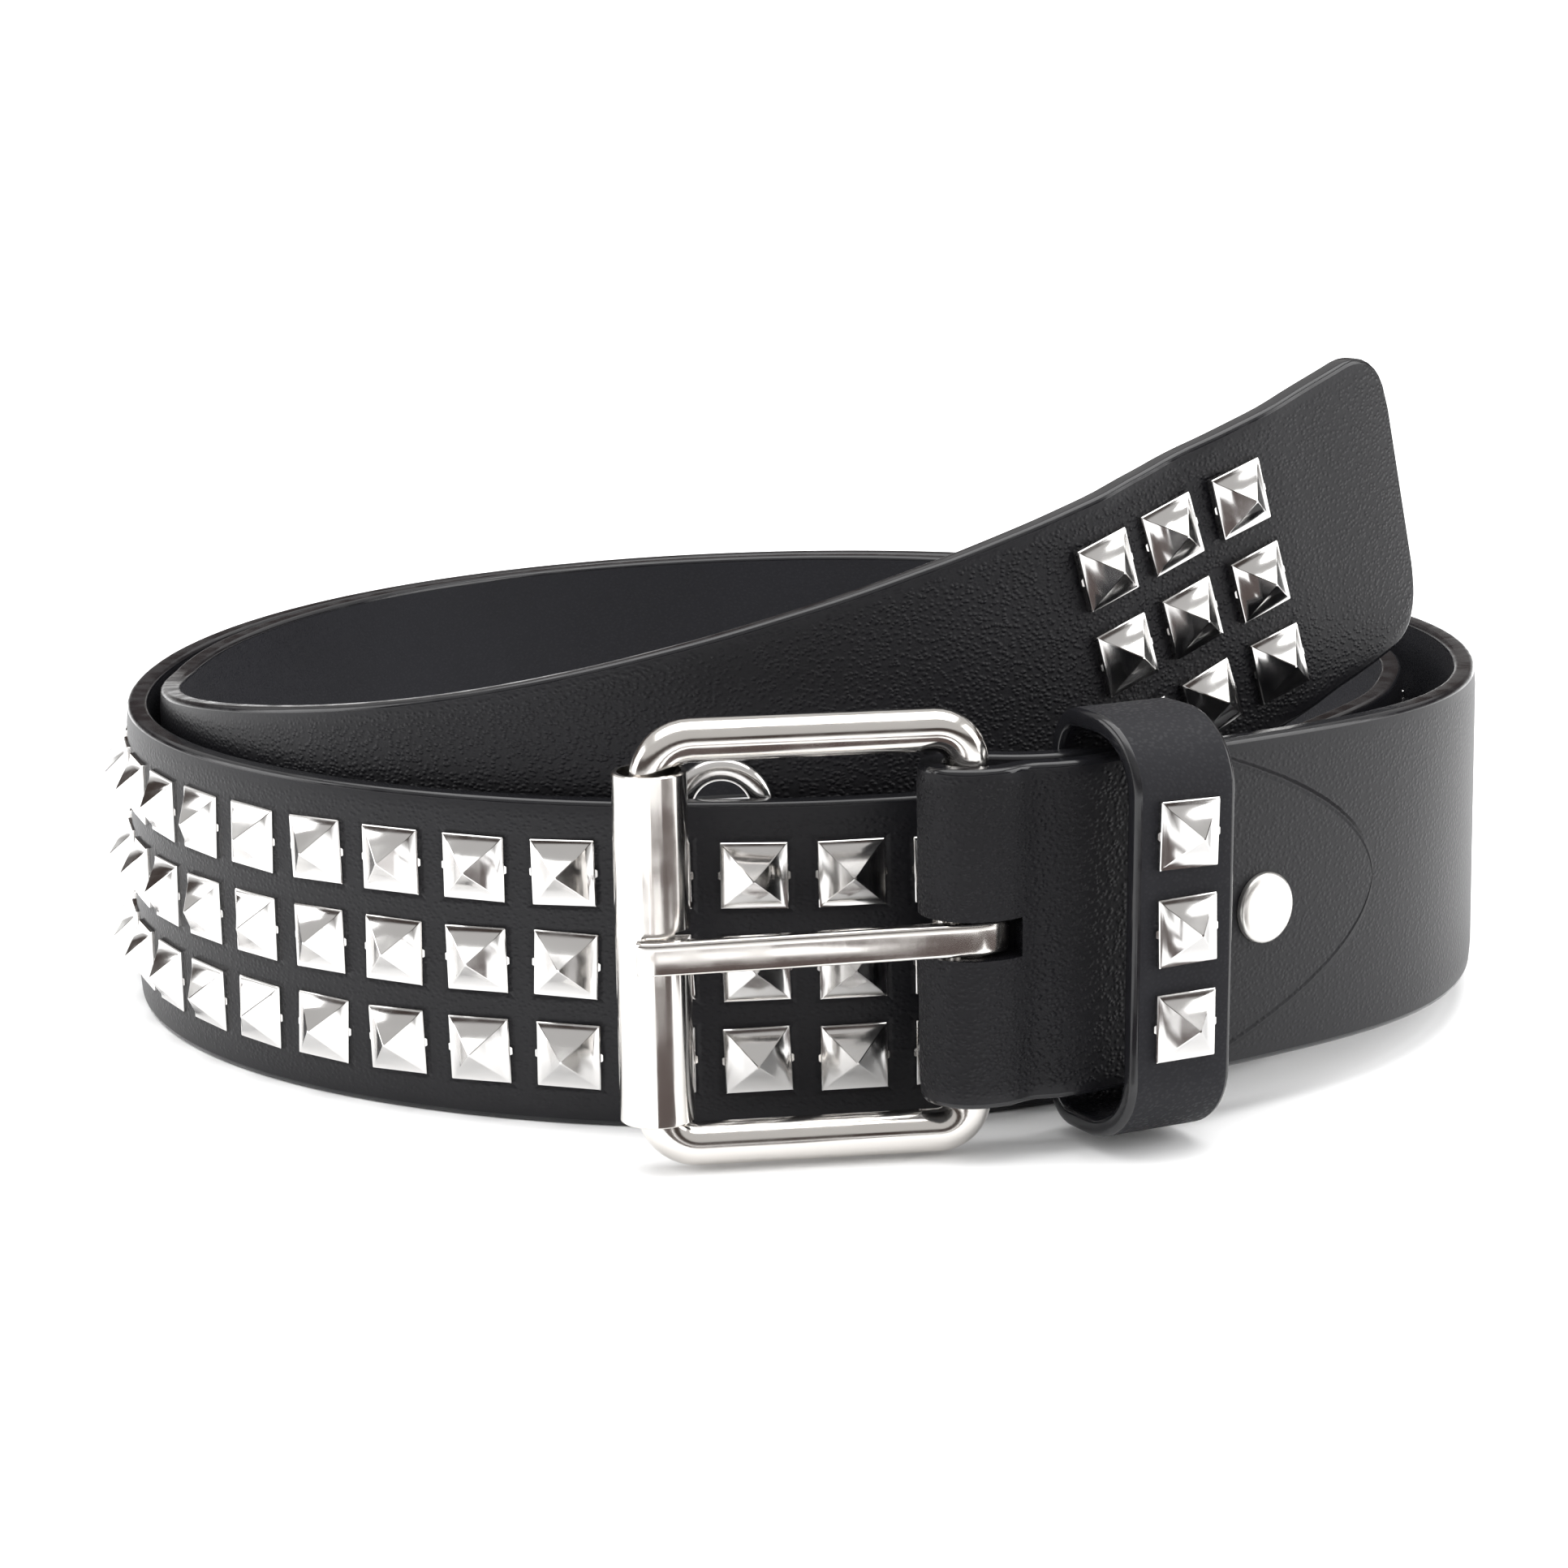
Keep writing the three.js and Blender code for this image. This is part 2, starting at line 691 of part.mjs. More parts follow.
addPiece('prong', prongGeometry().applyMatrix4(buckleMatrix(0)), nickel);

// Keeper: loose leather loop round both layers, roomy in front for the studded free end
const keeper_axes = strapAt(keeper_place);

function keeperGeometry() {
  const front = strap_thick / 2 + keeper_front_room + keeper_thick / 2;
  const back = -(pair_back + keeper_back_gap + keeper_thick / 2);
  const side = strap_width / 2 + keeper_slack + keeper_thick / 2;
  const corners = [
    { x: front, y: side, ...keeper_front_round, from: 0 },
    { x: back, y: side, ...keeper_back_round, from: 90 },
    { x: back, y: -side, ...keeper_back_round, from: 180 },
    { x: front, y: -side, ...keeper_front_round, from: 270 },
  ];
  const corner_steps = 6;
  const places = [];
  for (const corner of corners) {
    const centre_x = corner.x - Math.sign(corner.x) * corner.deep;
    const centre_y = corner.y - Math.sign(corner.y) * corner.tall;
    for (let step = 0; step <= corner_steps; step += 1) {
      const angle = (corner.from + 90 * step / corner_steps) * degree;
      places.push([centre_x + Math.cos(angle) * corner.deep, centre_y + Math.sin(angle) * corner.tall]);
    }
  }
  const rings = places.map(([x, y], i) => {
    const before = places[(i + places.length - 1) % places.length];
    const after = places[(i + 1) % places.length];
    const heading = new THREE.Vector2(after[0] - before[0], after[1] - before[1]).normalize();
    const point = keeper_axes.point.clone()
      .addScaledVector(keeper_axes.out, x).addScaledVector(keeper_axes.up, y);
    const out = new THREE.Vector3().addScaledVector(keeper_axes.out, heading.y)
      .addScaledVector(keeper_axes.up, -heading.x);
    return bandRing({ point, out, up: keeper_axes.along }, keeper_width / 2, keeper_thick / 2, keeper_bevel);
  });
  return ringSolid(rings, true);
}

addPiece('keeper', keeperGeometry(), leather);

for (let row = 0; row < stud_rows; row += 1) {
  const place = { ...keeper_axes, point: keeper_axes.point.clone() };
  place.point.addScaledVector(keeper_axes.up, rowOffset(row) + keeper_studs_rise);
  const lift = strap_thick / 2 + keeper_front_room + keeper_thick + seat_gap;
  const stud = studGeometry(0).applyMatrix4(matrixAt(place, lift));
  addPiece(`keeper_stud_${row + 1}`, stud, nickel);
}

// Rivet: flat head, shank through strap and tongue, and a smaller head behind
function rivetGeometry() {
  const head = rivet_head / 2;
  const tail = rivet_tail / 2;
  const shank = rivet_shank / 2;
  const front = strap_thick / 2 + seat_gap;
  const back = -(pair_back + seat_gap);
  const profile = [
    [0, back - rivet_head_thick], [tail - rivet_round, back - rivet_head_thick],
    [tail, back - rivet_head_thick + rivet_round], [tail, back], [shank, back], [shank, front], [head, front],
    [head, front + rivet_head_thick - rivet_round], [head - rivet_round, front + rivet_head_thick],
    [0, front + rivet_head_thick],
  ].map(([x, y]) => new THREE.Vector2(x, y));
  const body = new THREE.LatheGeometry(profile, rivet_sides);
  body.rotateX(Math.PI / 2);
  return closedMesh(body);
}

addPiece('rivet', rivetGeometry().applyMatrix4(matrixAt(rivetAxes(), 0)), nickel);

// Origin under the middle of the belt, on the surface that it stands on
const reach = new THREE.Box3().setFromObject(belt);
belt.position.set(-(reach.min.x + reach.max.x) / 2, -(reach.min.y + reach.max.y) / 2, -reach.min.z);

export default belt;
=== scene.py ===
import math
import random

import bmesh
import bpy
from mathutils import Matrix, Vector


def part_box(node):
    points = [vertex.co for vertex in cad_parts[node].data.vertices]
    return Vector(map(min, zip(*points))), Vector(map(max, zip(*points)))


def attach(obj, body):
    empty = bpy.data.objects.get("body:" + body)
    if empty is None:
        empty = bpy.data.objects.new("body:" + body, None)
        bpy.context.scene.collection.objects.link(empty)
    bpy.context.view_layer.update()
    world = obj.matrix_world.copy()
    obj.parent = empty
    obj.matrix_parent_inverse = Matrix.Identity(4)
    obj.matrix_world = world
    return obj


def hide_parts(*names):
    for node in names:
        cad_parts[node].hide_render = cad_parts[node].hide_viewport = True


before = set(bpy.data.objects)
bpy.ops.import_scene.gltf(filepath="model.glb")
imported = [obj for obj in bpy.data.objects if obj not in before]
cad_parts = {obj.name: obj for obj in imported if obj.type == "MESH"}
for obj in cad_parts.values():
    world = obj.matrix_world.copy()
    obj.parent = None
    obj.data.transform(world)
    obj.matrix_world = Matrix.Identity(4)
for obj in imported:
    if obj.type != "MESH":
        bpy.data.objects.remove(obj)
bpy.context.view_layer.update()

# Strap
# One long strip of coated black leather, 38 mm wide and 2.8 mm thick, with rounded, painted edges. It
# stands on its lower edge in two turns. The buckle end is folded round the bar and riveted to itself,
# and the free end leaves the inner turn and climbs over the buckle.
MM = 0.001
strap_width = 38.0
strap_thick = 2.8
edge_round = 0.65
coil_radius = 92.0
layer_gap = 0.3
stud_room = 3.7
buckle_rise = 6.6
bar_turn = -81.3
strap_step = 2.0
tongue_length = 57.0
end_corner = 6.0
fold_bend = 4.1
half_pair = (strap_thick + layer_gap) / 2

# turn in degrees, the outer face's share of the coil radius, the lower edge's share of the buckle's rise
outer_turn = [
    (-82, 1.095, 1), (-70, 1.07, 0.95), (-60, 1.041, 0.89), (-40, 1.007, 0.72), (-20, 0.945, 0.54),
    (0, 0.901, 0.38), (20, 0.883, 0.24), (45, 0.916, 0.1), (70, 0.97, 0), (90, 0.995, 0),
    (110, 0.999, 0), (135, 0.985, 0), (160, 0.972, 0), (180, 0.979, 0), (200, 1.002, 0),
    (220, 1.003, 0), (240, 0.978, 0), (260, 0.948, 0), (280, 0.918, 0), (300, 0.878, 0),
]
# turn, room outside the strap in stud rooms, rise of the lower edge in strap widths
inner_turn = [
    (284, 3.44, 0), (292, 3.38, 0), (300, 3.24, 0), (320, 3.33, 0), (340, 1.97, 0), (360, 1.06, 0),
    (380, 1.04, 0), (400, 1.03, 0), (415, 0.75, 0), (430, 0.32, 0), (445, 0.05, 0), (460, 0, 0),
    (520, 0, 0), (540, 0.2, 0), (560, 0.38, 0.061), (580, 0.42, 0.151), (600, 0.42, 0.268),
    (620, 0.45, 0.443), (630, 0.68, 0.545), (640, 1.02, 0.645), (650, 1.16, 0.744), (660, 1.14, 0.842),
    (666, 0.95, 0.902), (673, 0.35, 0.975), (681, -0.46, 1.061), (688, -1.13, 1.14), (700, -2.1, 1.279),
]
# place along the fold in bend radii from the bar, how far the front and the back layer still stand off
fold_swell = [
    (0, 1, 1), (0.6, 0.9, 0.93), (1.2, 0.45, 0.62), (1.6, 0.3, 0.38), (2.2, 0.42, 0.15),
    (3.0, 0.4, 0.04), (4.2, 0.12, 0), (5.4, 0, 0),
]
# distance from the tongue's nose and its half width, both in strap widths
tongue_outline = [
    (0, 0.06), (0.015, 0.105), (0.05, 0.155), (0.12, 0.21), (0.25, 0.275), (0.4, 0.35), (0.55, 0.43),
    (0.7, 0.49), (0.78, 0.5),
]


def smooth_curve(rows, column):
    x = [row[0] for row in rows]
    y = [row[column] for row in rows]
    bend = [0.0] * len(x)
    sweep = [0.0] * len(x)
    for i in range(1, len(x) - 1):
        before, after = x[i] - x[i - 1], x[i + 1] - x[i]
        pivot = 2 * (before + after) - before * sweep[i - 1]
        sweep[i] = after / pivot
        change = 6 * ((y[i + 1] - y[i]) / after - (y[i] - y[i - 1]) / before)
        bend[i] = (change - before * bend[i - 1]) / pivot
    for i in range(len(x) - 2, 0, -1):
        bend[i] -= sweep[i] * bend[i + 1]

    def at(value):
        here = min(max(value, x[0]), x[-1])
        i = next(k for k in range(1, len(x)) if here <= x[k])
        span = x[i] - x[i - 1]
        a = (x[i] - here) / span
        b = 1 - a
        curve = ((a ** 3 - a) * bend[i - 1] + (b ** 3 - b) * bend[i]) * span * span / 6
        return a * y[i - 1] + b * y[i] + curve
    return at


def steady_curve(rows, column):
    x = [row[0] for row in rows]
    y = [row[column] for row in rows]
    grade = [(y[i + 1] - y[i]) / (x[i + 1] - x[i]) for i in range(len(x) - 1)]
    slope = []
    for i in range(len(x)):
        before, after = grade[max(i - 1, 0)], grade[min(i, len(grade) - 1)]
        slope.append(2 * before * after / (before + after) if before * after > 0 else 0.0)

    def at(value):
        here = min(max(value, x[0]), x[-1])
        i = next(k for k in range(1, len(x)) if here <= x[k])
        span = x[i] - x[i - 1]
        b = (here - x[i - 1]) / span
        a = 1 - b
        return (y[i - 1] * a * a * (1 + 2 * b) + y[i] * b * b * (1 + 2 * a)
                + span * a * b * (a * slope[i - 1] - b * slope[i]))
    return at


outer_reach = smooth_curve(outer_turn, 1)
outer_lift = steady_curve(outer_turn, 2)
inner_inset = steady_curve(inner_turn, 1)
inner_rise = smooth_curve(inner_turn, 2)
handover_first, handover_last = inner_turn[0][0], outer_turn[-1][0]


def outer_face(turn):
    if turn <= handover_first:
        return outer_reach(turn) * coil_radius
    inside = outer_face(turn - 360) - strap_thick - layer_gap - inner_inset(turn) * stud_room
    if turn >= handover_last:
        return inside
    share = (turn - handover_first) / (handover_last - handover_first)
    blend = share * share * (3 - 2 * share)
    return (1 - blend) * outer_reach(turn) * coil_radius + blend * inside


def middle_at(turn):
    radius = outer_face(turn) - strap_thick / 2
    angle = math.radians(turn)
    if turn < handover_last:
        low = max(outer_lift(turn), 0) * buckle_rise
    else:
        low = max(inner_rise(turn), 0) * strap_width
    return Vector((radius * math.cos(angle), radius * math.sin(angle), low + strap_width / 2))


route = [(bar_turn, middle_at(bar_turn), 0.0)]
while route[-1][0] + 1 <= inner_turn[-1][0]:
    turn, point, length = route[-1]
    following = middle_at(turn + 1)
    route.append((turn + 1, following, length + (following - point).length))


def length_at(turn):
    i = min(max(int(turn - bar_turn), 0), len(route) - 2)
    return route[i][2] + (turn - route[i][0]) * (route[i + 1][2] - route[i][2])


def turn_at(length):
    i = next((k for k in range(1, len(route)) if route[k][2] >= length), len(route) - 1)
    return route[i - 1][0] + (length - route[i - 1][2]) / (route[i][2] - route[i - 1][2])


def axes_matrix(point, heading):
    along = heading.normalized()
    out = Vector((along.y, -along.x, 0)).normalized()
    up = out.cross(along)
    basis = Matrix((along, up, out)).transposed().to_4x4()
    return Matrix.Translation(point) @ basis


def strap_at(length):
    turn = turn_at(length)
    return axes_matrix(middle_at(turn), middle_at(turn + 0.5) - middle_at(turn - 0.5))


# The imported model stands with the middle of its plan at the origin, the roller's box says by how much
frame_span = 34.6
frame_turn = -7
bar_axes = strap_at(0.0)
bar_out = bar_axes.col[2].to_3d()
bar_along = bar_axes.col[0].to_3d()
bar_point = bar_axes.translation - bar_out * half_pair
aside = -Vector((bar_along.x, bar_along.y, 0)).normalized()
aside.rotate(Matrix.Rotation(math.radians(frame_turn), 3, "Z"))
roller_low, roller_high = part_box("roller")
roller_point = bar_point + aside * frame_span
plan_shift = (roller_low + roller_high) / 2 - roller_point * MM
plan_shift.z = 0


def finished(name, bm, materials, body="belt", nodes=()):
    bmesh.ops.scale(bm, vec=(MM, MM, MM), verts=bm.verts)
    bmesh.ops.translate(bm, vec=plan_shift, verts=bm.verts)
    mesh = bpy.data.meshes.new(name)
    bm.to_mesh(mesh)
    bm.free()
    piece = bpy.data.objects.new(name, mesh)
    bpy.context.scene.collection.objects.link(piece)
    for material in materials:
        mesh.materials.append(material)
    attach(piece, body)
    if nodes:
        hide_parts(*nodes)
    return piece


def apply_modifiers(piece):
    bpy.context.view_layer.update()
    made = piece.evaluated_get(bpy.context.evaluated_depsgraph_get())
    mesh = bpy.data.meshes.new_from_object(made)
    old = piece.data
    piece.modifiers.clear()
    piece.data = mesh
    bpy.data.meshes.remove(old)
    mesh.name = piece.name


def strap_outline(half_width, half_thick, radius, shoulder=2.6, drop=0.16):
    """Section of a strap as (up, out) points: rounded edges, and a soft shoulder beside them in front."""
    corner = min(radius, half_width / 2)
    outline = []
    for start, x, y in ((0, 1, 1), (90, -1, 1), (180, -1, -1), (270, 1, -1)):
        arc = []
        for i in range(4):
            angle = math.radians(start + 30 * i)
            level = half_thick - corner - (drop if y > 0 else 0)
            arc.append((x * (half_width - corner) + corner * math.cos(angle),
                        y * level + corner * math.sin(angle)))
        flat = (x * max(half_width - shoulder, half_width * 0.4), y * half_thick)
        outline += arc + [flat] if start in (0, 180) else [flat] + arc
    return outline


def swept(places, outlines, lengths=None, closed=False):
    """A tube grown ring by ring from (up, out) outlines in each place's axes, its UV (length, up)."""
    lengths = lengths or [0.0] * len(places)
    bm = bmesh.new()
    along = bm.verts.layers.float.new("along")
    across = bm.verts.layers.float.new("across")
    through = bm.verts.layers.float.new("through")
    top = max(y for _, y in outlines[0])
    verts = [bm.verts.new(places[0] @ Vector((0, x, y))) for x, y in outlines[0]]
    count = len(verts)
    ring = [bm.edges.new((verts[i], verts[(i + 1) % count])) for i in range(count)]
    for k, (place, outline, length) in enumerate(zip(places, outlines, lengths)):
        if k:
            grown = bmesh.ops.extrude_edge_only(bm, edges=ring)["geom"]
            fresh = {g for g in grown if isinstance(g, bmesh.types.BMVert)}
            verts = [next(e for e in v.link_edges if e.other_vert(v) in fresh).other_vert(v) for v in verts]
            ring = [bm.edges.get((verts[i], verts[(i + 1) % count])) for i in range(count)]
        for vert, (x, y) in zip(verts, outline):
            vert.co = place @ Vector((0, x, y))
            vert[along], vert[across], vert[through] = length, x, y / top
    if closed:
        bmesh.ops.remove_doubles(bm, verts=bm.verts, dist=0.001)
    else:
        bmesh.ops.holes_fill(bm, edges=[e for e in bm.edges if e.is_boundary], sides=0)
    bmesh.ops.recalc_face_normals(bm, faces=bm.faces)
    uv = bm.loops.layers.uv.new("strap")
    for face in bm.faces:
        face.smooth = True
        levels = [vert[through] for vert in face.verts]
        face.material_index = 0 if min(levels) > 0.85 else 1 if max(levels) < -0.95 else 2
        for loop in face.loops:
            loop[uv].uv = (loop.vert[along] * MM, loop.vert[across] * MM)
    return bm


def strap_stations():
    """Middle points from the tongue's nose to the free end, each with its half width and its length."""
    found = []
    tongue_half = steady_curve(tongue_outline, 1)
    swell_front = steady_curve(fold_swell, 1)
    swell_back = steady_curve(fold_swell, 2)
    swell_length = fold_swell[-1][0] * fold_bend
    fold_steps = 18
    swell_steps = 22
    end_steps = 8

    def layer(length, swell, side):
        place = strap_at(length)
        stand = half_pair + (fold_bend - half_pair) * swell(length / fold_bend)
        return place.translation + place.col[2].to_3d() * (side * stand - half_pair)

    back = [tongue_length - step for step in (0, 0.1, 0.3, 0.6, 1.0, 1.6, 2.4, 3.4, 4.6, 6.0)]
    while back[-1] - strap_step > swell_length:
        back.append(back[-1] - strap_step)
    back += [swell_length * k / swell_steps for k in range(swell_steps, 0, -1)]
    for length in back:
        half = strap_width * tongue_half((tongue_length - length) / strap_width)
        found.append((layer(length, swell_back, -1), half, -length))
    for i in range(fold_steps + 1):
        angle = math.pi * i / fold_steps
        point = (bar_point - bar_out * (math.cos(angle) * fold_bend)
                 - bar_along * (math.sin(angle) * fold_bend))
        found.append((point, strap_width / 2, 0.0))
    for k in range(1, swell_steps + 1):
        length = swell_length * k / swell_steps
        found.append((layer(length, swell_front, 1), strap_width / 2, length))
    run = strap_end - end_corner - swell_length
    count = round(run / strap_step)
    for i in range(1, count + 1):
        length = swell_length + run * i / count
        found.append((middle_at(turn_at(length)), strap_width / 2, length))
    for i in range(1, end_steps + 1):
        angle = math.radians(90 * i / end_steps)
        length = strap_end - end_corner * (1 - math.sin(angle))
        half = strap_width / 2 - end_corner * (1 - math.cos(angle))
        found.append((middle_at(turn_at(length)), half, length))
    return found


def with_headings(points):
    last = len(points) - 1
    return [axes_matrix(points[i], points[min(i + 1, last)] - points[max(i - 1, 0)]) for i in range(last + 1)]


def put(tree, kind, **values):
    """A shader node with its options and its inputs, each a number, a colour or another node's socket."""
    made = tree.nodes.new(kind)
    for key, value in values.items():
        if hasattr(made, key):
            setattr(made, key, value)
            continue
        place = int(key[1:]) if key[0] == "i" and key[1:].isdigit() else key.replace("_", " ")
        socket = made.inputs[place]
        if isinstance(value, bpy.types.NodeSocket):
            tree.links.new(value, socket)
        else:
            socket.default_value = value
    return made


def sums(tree, operation, first, second=0.0, third=0.0):
    return put(tree, "ShaderNodeMath", operation=operation, i0=first, i1=second, i2=third).outputs[0]


def ramp(tree, value, low, high, start=0.0, stop=1.0):
    made = put(tree, "ShaderNodeMapRange", interpolation_type="SMOOTHSTEP", Value=value,
               From_Min=low, From_Max=high, To_Min=start, To_Max=stop)
    return made.outputs["Result"]


def new_group(name, inputs, outputs):
    group = bpy.data.node_groups.new(name, "ShaderNodeTree")
    for label, value in inputs:
        group.interface.new_socket(label, in_out="INPUT", socket_type="NodeSocketFloat").default_value = value
    for label in outputs:
        group.interface.new_socket(label, in_out="OUTPUT", socket_type="NodeSocketFloat")
    return group, group.nodes.new("NodeGroupInput").outputs, group.nodes.new("NodeGroupOutput").inputs


def new_material(name, color, rough, metallic=0.0):
    material = bpy.data.materials.new(name)
    material.use_nodes = True
    shader = material.node_tree.nodes["Principled BSDF"].inputs
    shader["Base Color"].default_value = (*color, 1)
    shader["Roughness"].default_value = rough
    shader["Metallic"].default_value = metallic
    return material, material.node_tree, shader


# Grain: small soft pebbles of uneven size, with finer pores on them
grain, given, result = new_group("leather_grain", [("Scale", 1000.0), ("Warp", 0.0004)], ["Height", "Crease"])
where = put(grain, "ShaderNodeTexCoord").outputs["Object"]
drift = put(grain, "ShaderNodeTexNoise", Vector=where, Scale=520.0, Detail=2.0).outputs["Color"]
centred = put(grain, "ShaderNodeVectorMath", operation="SUBTRACT", i0=drift, i1=(0.5, 0.5, 0.5)).outputs[0]
pushed = put(grain, "ShaderNodeVectorMath", operation="SCALE", i0=centred, Scale=given["Warp"]).outputs[0]
warped = put(grain, "ShaderNodeVectorMath", operation="ADD", i0=where, i1=pushed).outputs[0]
flat = put(grain, "ShaderNodeMapping", Vector=warped, Scale=(1.0, 1.0, 1.35)).outputs[0]
cells = put(grain, "ShaderNodeTexVoronoi", feature="SMOOTH_F1", Vector=flat, Scale=given["Scale"],
            Smoothness=0.35)
pebble = ramp(grain, cells.outputs["Distance"], 0.12, 0.62, 1.0, 0.0)
pores = put(grain, "ShaderNodeTexNoise", Vector=where, Scale=2400.0, Detail=3.0).outputs[0]
grain.links.new(sums(grain, "MULTIPLY_ADD", pores, 0.5, pebble), result["Height"])
grain.links.new(sums(grain, "SUBTRACT", 1.0, pebble), result["Crease"])

# Leather pressed down round a grid of studs, told by the place on the strap
press, given, result = new_group(
    "stud_press", [("Length", 0.0), ("Across", 0.0), ("First", 0.0), ("Last", 1.0)], ["Height"])
pitch_along, pitch_across, press_half, press_reach = 0.0107, 0.0107, 0.0038, 0.0007
steps = sums(press, "DIVIDE", sums(press, "SUBTRACT", given["Length"], given["First"]), pitch_along)
from_column = sums(press, "ABSOLUTE", sums(press, "SUBTRACT", steps, sums(press, "ROUND", steps)))
rows = sums(press, "DIVIDE", given["Across"], pitch_across)
nearest_row = sums(press, "MINIMUM", sums(press, "MAXIMUM", sums(press, "ROUND", rows), -1.0), 1.0)
from_row = sums(press, "ABSOLUTE", sums(press, "SUBTRACT", rows, nearest_row))
off = sums(press, "MAXIMUM", sums(press, "MULTIPLY", from_column, pitch_along),
           sums(press, "MULTIPLY", from_row, pitch_across))
dent = ramp(press, off, press_half - 0.0002, press_half + press_reach, -1.0, 0.0)
margin = pitch_along / 2
after = sums(press, "GREATER_THAN", given["Length"], sums(press, "SUBTRACT", given["First"], margin))
before = sums(press, "LESS_THAN", given["Length"], sums(press, "ADD", given["Last"], margin))
press.links.new(sums(press, "MULTIPLY", dent, sums(press, "MULTIPLY", after, before)), result["Height"])


def leather_finish(name, color, rough, scale, depth, shaped=None):
    """Coated leather: grain in the normal, duller creases, a slow change of shade, and pressed shapes."""
    material, tree, shader = new_material(name, color, rough)
    shader["Specular IOR Level"].default_value = 0.26
    made = put(tree, "ShaderNodeGroup", node_tree=grain)
    made.inputs["Scale"].default_value = scale
    where = put(tree, "ShaderNodeTexCoord").outputs["Object"]
    cloud = put(tree, "ShaderNodeTexNoise", Vector=where, Scale=38.0, Detail=3.0).outputs[0]
    dark = (*[0.7 * c for c in color], 1)
    light = (*[1.45 * c for c in color], 1)
    shade = put(tree, "ShaderNodeMix", data_type="RGBA", i0=cloud, i6=dark, i7=light)
    tree.links.new(shade.outputs[2], shader["Base Color"])
    height, crease = made.outputs["Height"], made.outputs["Crease"]
    if shaped:
        strength, relief = shaped(tree)
        height = sums(tree, "MULTIPLY_ADD", height, strength, relief)
        crease = sums(tree, "MULTIPLY", crease, strength)
    tree.links.new(ramp(tree, crease, 0.0, 1.0, rough, rough + 0.2), shader["Roughness"])
    bump = put(tree, "ShaderNodeBump", Strength=1.0, Distance=depth, Height=height)
    tree.links.new(bump.outputs["Normal"], shader["Normal"])
    return material


def edge_finish(name, color, rough):
    """Thick edge paint: smooth, glossy and a little wavy."""
    material, tree, shader = new_material(name, color, rough)
    where = put(tree, "ShaderNodeTexCoord").outputs["Object"]
    wave = put(tree, "ShaderNodeTexNoise", Vector=where, Scale=300.0, Detail=2.0).outputs[0]
    tree.links.new(ramp(tree, wave, 0.3, 0.7, rough - 0.06, rough + 0.1), shader["Roughness"])
    bump = put(tree, "ShaderNodeBump", Strength=0.5, Distance=0.00006, Height=wave)
    tree.links.new(bump.outputs["Normal"], shader["Normal"])
    return material


stud_pitch = 10.7
field_first = length_at(65.2)
field_columns = 46
tip_middle = length_at(665.8)
end_past_studs = 27.6
strap_end = tip_middle + stud_pitch + end_past_studs
leather_black = (0.0062, 0.006, 0.0076)
grain_depth = 0.00015


def strap_relief(tree):
    """Strong grain on the fold and near the free end, dents round the studs, and the tongue's mark."""
    uv = put(tree, "ShaderNodeUVMap", uv_map="strap").outputs["UV"]
    split = put(tree, "ShaderNodeSeparateXYZ", Vector=uv).outputs
    near_fold = ramp(tree, split["X"], 0.014, 0.03, 1.0, 0.22)
    near_end = ramp(tree, split["X"], 0.97, 1.03, 0.0, 0.7)
    past_studs = ramp(tree, split["X"], 1.09, 1.13, 0.0, -0.45)
    strength = sums(tree, "ADD", near_fold, sums(tree, "ADD", near_end, past_studs))
    inside = ramp(tree, sums(tree, "ABSOLUTE", split["Y"]), 0.0165, 0.0182, 1.0, 0.15)
    relief = None
    for first, last in ((field_first, field_first + (field_columns - 1) * stud_pitch),
                        (tip_middle - stud_pitch, tip_middle + stud_pitch)):
        dents = put(tree, "ShaderNodeGroup", node_tree=press, Length=split["X"], Across=split["Y"],
                    First=first * MM, Last=last * MM).outputs["Height"]
        relief = dents if relief is None else sums(tree, "ADD", dents, relief)
    nose = sums(tree, "SUBTRACT", 0.0562, split["X"])
    half = sums(tree, "SQRT", sums(tree, "MULTIPLY", sums(tree, "MAXIMUM", nose, 0.0), 0.0118))
    off = sums(tree, "SUBTRACT", sums(tree, "ABSOLUTE", split["Y"]), half)
    step = ramp(tree, off, -0.0005, 0.0003, 1.0, 0.0)
    line = ramp(tree, sums(tree, "ABSOLUTE", sums(tree, "ADD", off, 0.0004)), 0.0, 0.0006, 1.0, 0.0)
    beside_tongue = sums(tree, "MULTIPLY", sums(tree, "GREATER_THAN", split["X"], 0.012),
                         sums(tree, "LESS_THAN", split["X"], 0.0564))
    mark = sums(tree, "MULTIPLY", sums(tree, "MULTIPLY_ADD", line, 1.1, step), beside_tongue)
    return sums(tree, "MULTIPLY", strength, inside), sums(tree, "MULTIPLY_ADD", mark, 1.3, relief)


leather_front = leather_finish("leather_grain_side", leather_black, 0.4, 1500.0, grain_depth, strap_relief)
leather_back = leather_finish("leather_flesh_side", (0.0078, 0.0078, 0.0105), 0.46, 1800.0, 0.000015)
leather_edge = edge_finish("leather_edge_paint", (0.008, 0.008, 0.0095), 0.17)

stations = strap_stations()
strap_places = with_headings([point for point, _, _ in stations])
sections = [strap_outline(half, strap_thick / 2, edge_round) for _, half, _ in stations]
bm = swept(strap_places, sections, [length for _, _, length in stations])
strap = finished("strap_leather", bm, [leather_front, leather_back, leather_edge], nodes=["strap"])

